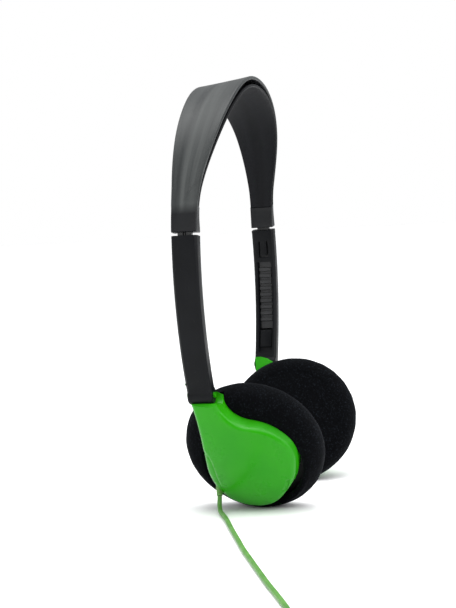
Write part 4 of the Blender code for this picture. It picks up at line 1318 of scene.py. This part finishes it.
def block(low, high, place):
    shape = bmesh.new()
    bmesh.ops.create_cube(shape, size=1.0)
    bmesh.ops.scale(shape, vec=Vector(high) - Vector(low), verts=shape.verts)
    bmesh.ops.translate(shape, vec=(Vector(high) + Vector(low)) / 2, verts=shape.verts)
    bmesh.ops.transform(shape, matrix=place, verts=shape.verts)
    return shape


def outline_block(outline, low, high):
    """A straight-sided block over an outline in the cup's own axes."""
    shape = bmesh.new()
    face = shape.faces.new([shape.verts.new((u, v, low)) for u, v in outline])
    grown = bmesh.ops.extrude_face_region(shape, geom=[face])
    moved = [item for item in grown["geom"] if isinstance(item, bmesh.types.BMVert)]
    bmesh.ops.translate(shape, vec=(0, 0, high - low), verts=moved)
    bmesh.ops.transform(shape, matrix=CUP, verts=shape.verts)
    return shape


def combine(target, cutter, operation):
    step = target.modifiers.new("combine", "BOOLEAN")
    step.operation = operation
    step.object = cutter
    step.solver = "EXACT"
    bake_modifiers(target)
    bpy.data.objects.remove(cutter)


def drum(radius, low, high):
    return spin_profile([(0, low), (radius, low), (radius, high), (0, high)], PIVOT, 48)


solid = cover_solid()
collar_at = CUP @ COLLAR_POINT
collar_up = CUP.to_3x3() @ COLLAR_UP
cut = bmesh.ops.bisect_plane(
    solid, geom=solid.verts[:] + solid.edges[:] + solid.faces[:], dist=1e-5, plane_co=collar_at,
    plane_no=collar_up, clear_outer=True,
)["geom_cut"]
bmesh.ops.holes_fill(solid, edges=[item for item in cut if isinstance(item, bmesh.types.BMEdge)], sides=0)
left_cover = cutter_object(solid)
left_cover.name = "left_cup_cover"
left_cover.data.name = "left_cup_cover"
combine(left_cover, cutter_object(drum(SEAT_RADIUS, -SEAT_RIGHT, SEAT_LEFT)), "DIFFERENCE")
lip_line = PIVOT @ Matrix.Translation((-0.35, 0.2, 0)) @ Matrix.Rotation(LIP_SLOPE, 4, "Z")
combine(left_cover, cutter_object(block((-14, -14, -SEAT_RIGHT), (14, 0, SEAT_LEFT), lip_line)), "DIFFERENCE")
stem = axes_matrix(pivot.translation, pivot.col[0].to_3d(), Y_AXIS, pivot.col[2].to_3d())
combine(left_cover, cutter_object(block((-1.2, -2.5, 0.0), (1.2, 2.5, 7.0), stem)), "UNION")
combine(left_cover, cutter_object(drum(2.5, -2.49, 2.49)), "UNION")
combine(left_cover, cutter_object(drum(1.15, -6.0, 6.0)), "DIFFERENCE")
print("left cover solid has", len(left_cover.data.polygons), "faces")

# %% Right cover, and both covers' finish
right_shape = bmesh.new()
right_shape.from_mesh(left_cover.data)
right_mesh = bpy.data.meshes.new("right_cup_cover")
mirror_to_right(right_shape)
right_shape.to_mesh(right_mesh)
right_shape.free()
right_cover = bpy.data.objects.new("right_cup_cover", right_mesh)
scene.collection.objects.link(right_cover)
for cover_piece, prefix in ((left_cover, "left"), (right_cover, "right")):
    cover_piece.data.materials.clear()
    cover_piece.data.materials.append(green_shell)
    cover_piece.data.shade_smooth()
    cover_piece.data.set_sharp_from_angle(angle=math.radians(32))
    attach(cover_piece, f"{prefix}_cup")
    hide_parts(f"{prefix}_shell")

# %% [markdown]
# ## The foam buns
#
# Each pad is a round bun of open foam stretched over the baffle. Its outline is spun, its pocket is
# moved to where the cover's dome is, and then a cloth simulation with a little air pressure swells
# it, so that it isn't a perfect turned part. The
# points round the pocket, which the cover hides, are pinned. Last, fine noise roughens the skin as
# foam is rough, and the lowest points are pressed flat where the pad stands on the table.

# %% Foam pads
PAD_RADIUS = 30.5
PAD_START = 0.35
PAD_FRONT = -8.5
PAD_REAR = 7.5
PAD_ROUND = 7.6
PAD_CAP = 0.35
POCKET_RADIUS = 21.3
POCKET_MIDDLE = (0.5, -4.0)
POCKET_EDGE = 27.5
PAD_SAG = 0.5
POCKET_FADE = 5.1


def pad_outline():
    """Half of the bun's section: a gently crowned face, a round rim, and the lip of the pocket."""
    radius = PAD_RADIUS - PAD_START
    outline = []
    face_radius = radius - PAD_ROUND
    for step in range(14):
        r = face_radius * step / 14
        outline.append((r, PAD_FRONT + 0.3 + 0.5 * (r / face_radius) ** 2 * 0.6))
    for centre, start, steps in ((PAD_FRONT + PAD_ROUND, -90, 12), (PAD_REAR - PAD_ROUND, 0, 12)):
        for step in range(steps + 1):
            angle = math.radians(start + 90 * step / steps)
            outline.append((face_radius + PAD_ROUND * math.cos(angle), centre + PAD_ROUND * math.sin(angle)))
    outline.append((22.4, PAD_REAR - 0.1))
    outline.append((POCKET_RADIUS + 0.3, PAD_REAR - 0.5))
    outline.append((POCKET_RADIUS, PAD_REAR - 1.2))
    outline.append((POCKET_RADIUS, 2.0))
    outline.append((POCKET_RADIUS + 3.2, 1.8))
    outline.append((POCKET_RADIUS + 3.2, -1.6))
    outline.append((12.0, -1.6))
    outline.append((0.0, -1.6))
    return outline


def shift_pocket(shape):
    """The pocket's middle sits a little below the bun's own, where the cover's dome is."""
    for vert in shape.verts:
        if vert.co.z > -2.0:
            share = ease((POCKET_EDGE - vert.co.xy.length) / POCKET_FADE)
            vert.co.x += POCKET_MIDDLE[0] * share
            vert.co.y += (POCKET_MIDDLE[1] + PAD_SAG) * share
        vert.co.y -= PAD_SAG


def swell(pad_object, pinned):
    """Runs the cloth simulation, keeps its result and limits how far any point moves."""
    rest = [vert.co.copy() for vert in pad_object.data.vertices]
    cloth = pad_object.modifiers.new("swell", "CLOTH")
    cloth.settings.quality = 4
    cloth.settings.mass = 0.3
    cloth.settings.tension_stiffness = 12
    cloth.settings.compression_stiffness = 12
    cloth.settings.bending_stiffness = 2.0
    cloth.settings.use_pressure = True
    cloth.settings.uniform_pressure_force = 4.0
    cloth.settings.effector_weights.gravity = 0.0
    cloth.settings.vertex_group_mass = pinned
    cloth.collision_settings.use_collision = False
    cloth.point_cache.frame_start = 1
    cloth.point_cache.frame_end = 20
    for moment in range(1, 21):
        scene.frame_set(moment)
    graph = bpy.context.evaluated_depsgraph_get()
    swollen = [vert.co.copy() for vert in pad_object.evaluated_get(graph).data.vertices]
    pad_object.modifiers.clear()
    scene.frame_set(1)
    for vert, before, after in zip(pad_object.data.vertices, rest, swollen):
        moved = after - before
        if moved.length > PAD_CAP * MM:
            moved = moved.normalized() * PAD_CAP * MM
        vert.co = before + moved


def make_pad():
    shape = spin_profile(pad_outline(), Matrix.Identity(4), 128)
    mesh = bpy.data.meshes.new("left_ear_pad")
    reach = POCKET_RADIUS + 3.4
    pinned = [vert.index for vert in shape.verts if vert.co.xy.length < reach and vert.co.z > -2.0]
    shift_pocket(shape)
    bmesh.ops.scale(shape, vec=(MM, MM, MM), verts=shape.verts)
    shape.verts.index_update()
    shape.to_mesh(mesh)
    shape.free()
    pad_object = bpy.data.objects.new("left_ear_pad", mesh)
    scene.collection.objects.link(pad_object)
    group = pad_object.vertex_groups.new(name="pocket")
    group.add(pinned, 1.0, "REPLACE")
    swell(pad_object, "pocket")
    pad_object.vertex_groups.clear()
    return pad_object


def skin_noise(place):
    """Small bumps at two sizes, in millimetres."""
    coarse = noise.noise(place * 0.22)
    fine_part = noise.noise(place * 1.4)
    return 0.16 * coarse + 0.07 * fine_part


def finer_skin(pad_object):
    """Subdivides the simulated bun, opens the neck notch, sets it in the cup's frame and roughens it."""
    smoother = pad_object.modifiers.new("smoother", "SUBSURF")
    smoother.levels = 1
    smoother.render_levels = 1
    bake_modifiers(pad_object)
    shape = bmesh.new()
    shape.from_mesh(pad_object.data)
    bmesh.ops.scale(shape, vec=(1 / MM, 1 / MM, 1 / MM), verts=shape.verts)
    shape.normal_update()
    for vert in shape.verts:
        vert.co += vert.normal * skin_noise(vert.co)
    bmesh.ops.transform(shape, matrix=CUP, verts=shape.verts)
    notch = outline_block(teardrop((0.5, -4.0), 20.5, -20.2, -7.9, 15.0, bow=1.0, egg=1.0), 1.5, 18.0)
    bmesh.ops.scale(shape, vec=(MM, MM, MM), verts=shape.verts)
    shape.to_mesh(pad_object.data)
    shape.free()
    combine(pad_object, cutter_object(notch), "DIFFERENCE")
    for vert in pad_object.data.vertices:
        vert.co.z = max(vert.co.z, 0.00001)
    return pad_object


left_pad = finer_skin(make_pad())
right_shape = bmesh.new()
right_shape.from_mesh(left_pad.data)
mirror_to_right(right_shape)
right_mesh = bpy.data.meshes.new("right_ear_pad")
right_shape.to_mesh(right_mesh)
right_shape.free()
right_pad = bpy.data.objects.new("right_ear_pad", right_mesh)
scene.collection.objects.link(right_pad)
for pad, prefix in ((left_pad, "left"), (right_pad, "right")):
    pad.data.materials.clear()
    pad.data.materials.append(black_foam)
    pad.data.shade_smooth()
    pad.data.set_sharp_from_angle(angle=math.radians(50))
    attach(pad, f"{prefix}_cup")
    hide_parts(f"{prefix}_foam_pad")
    print(pad.name, "has", len(pad.data.polygons), "faces")

# %% Last update of the scene
bpy.context.view_layer.update()
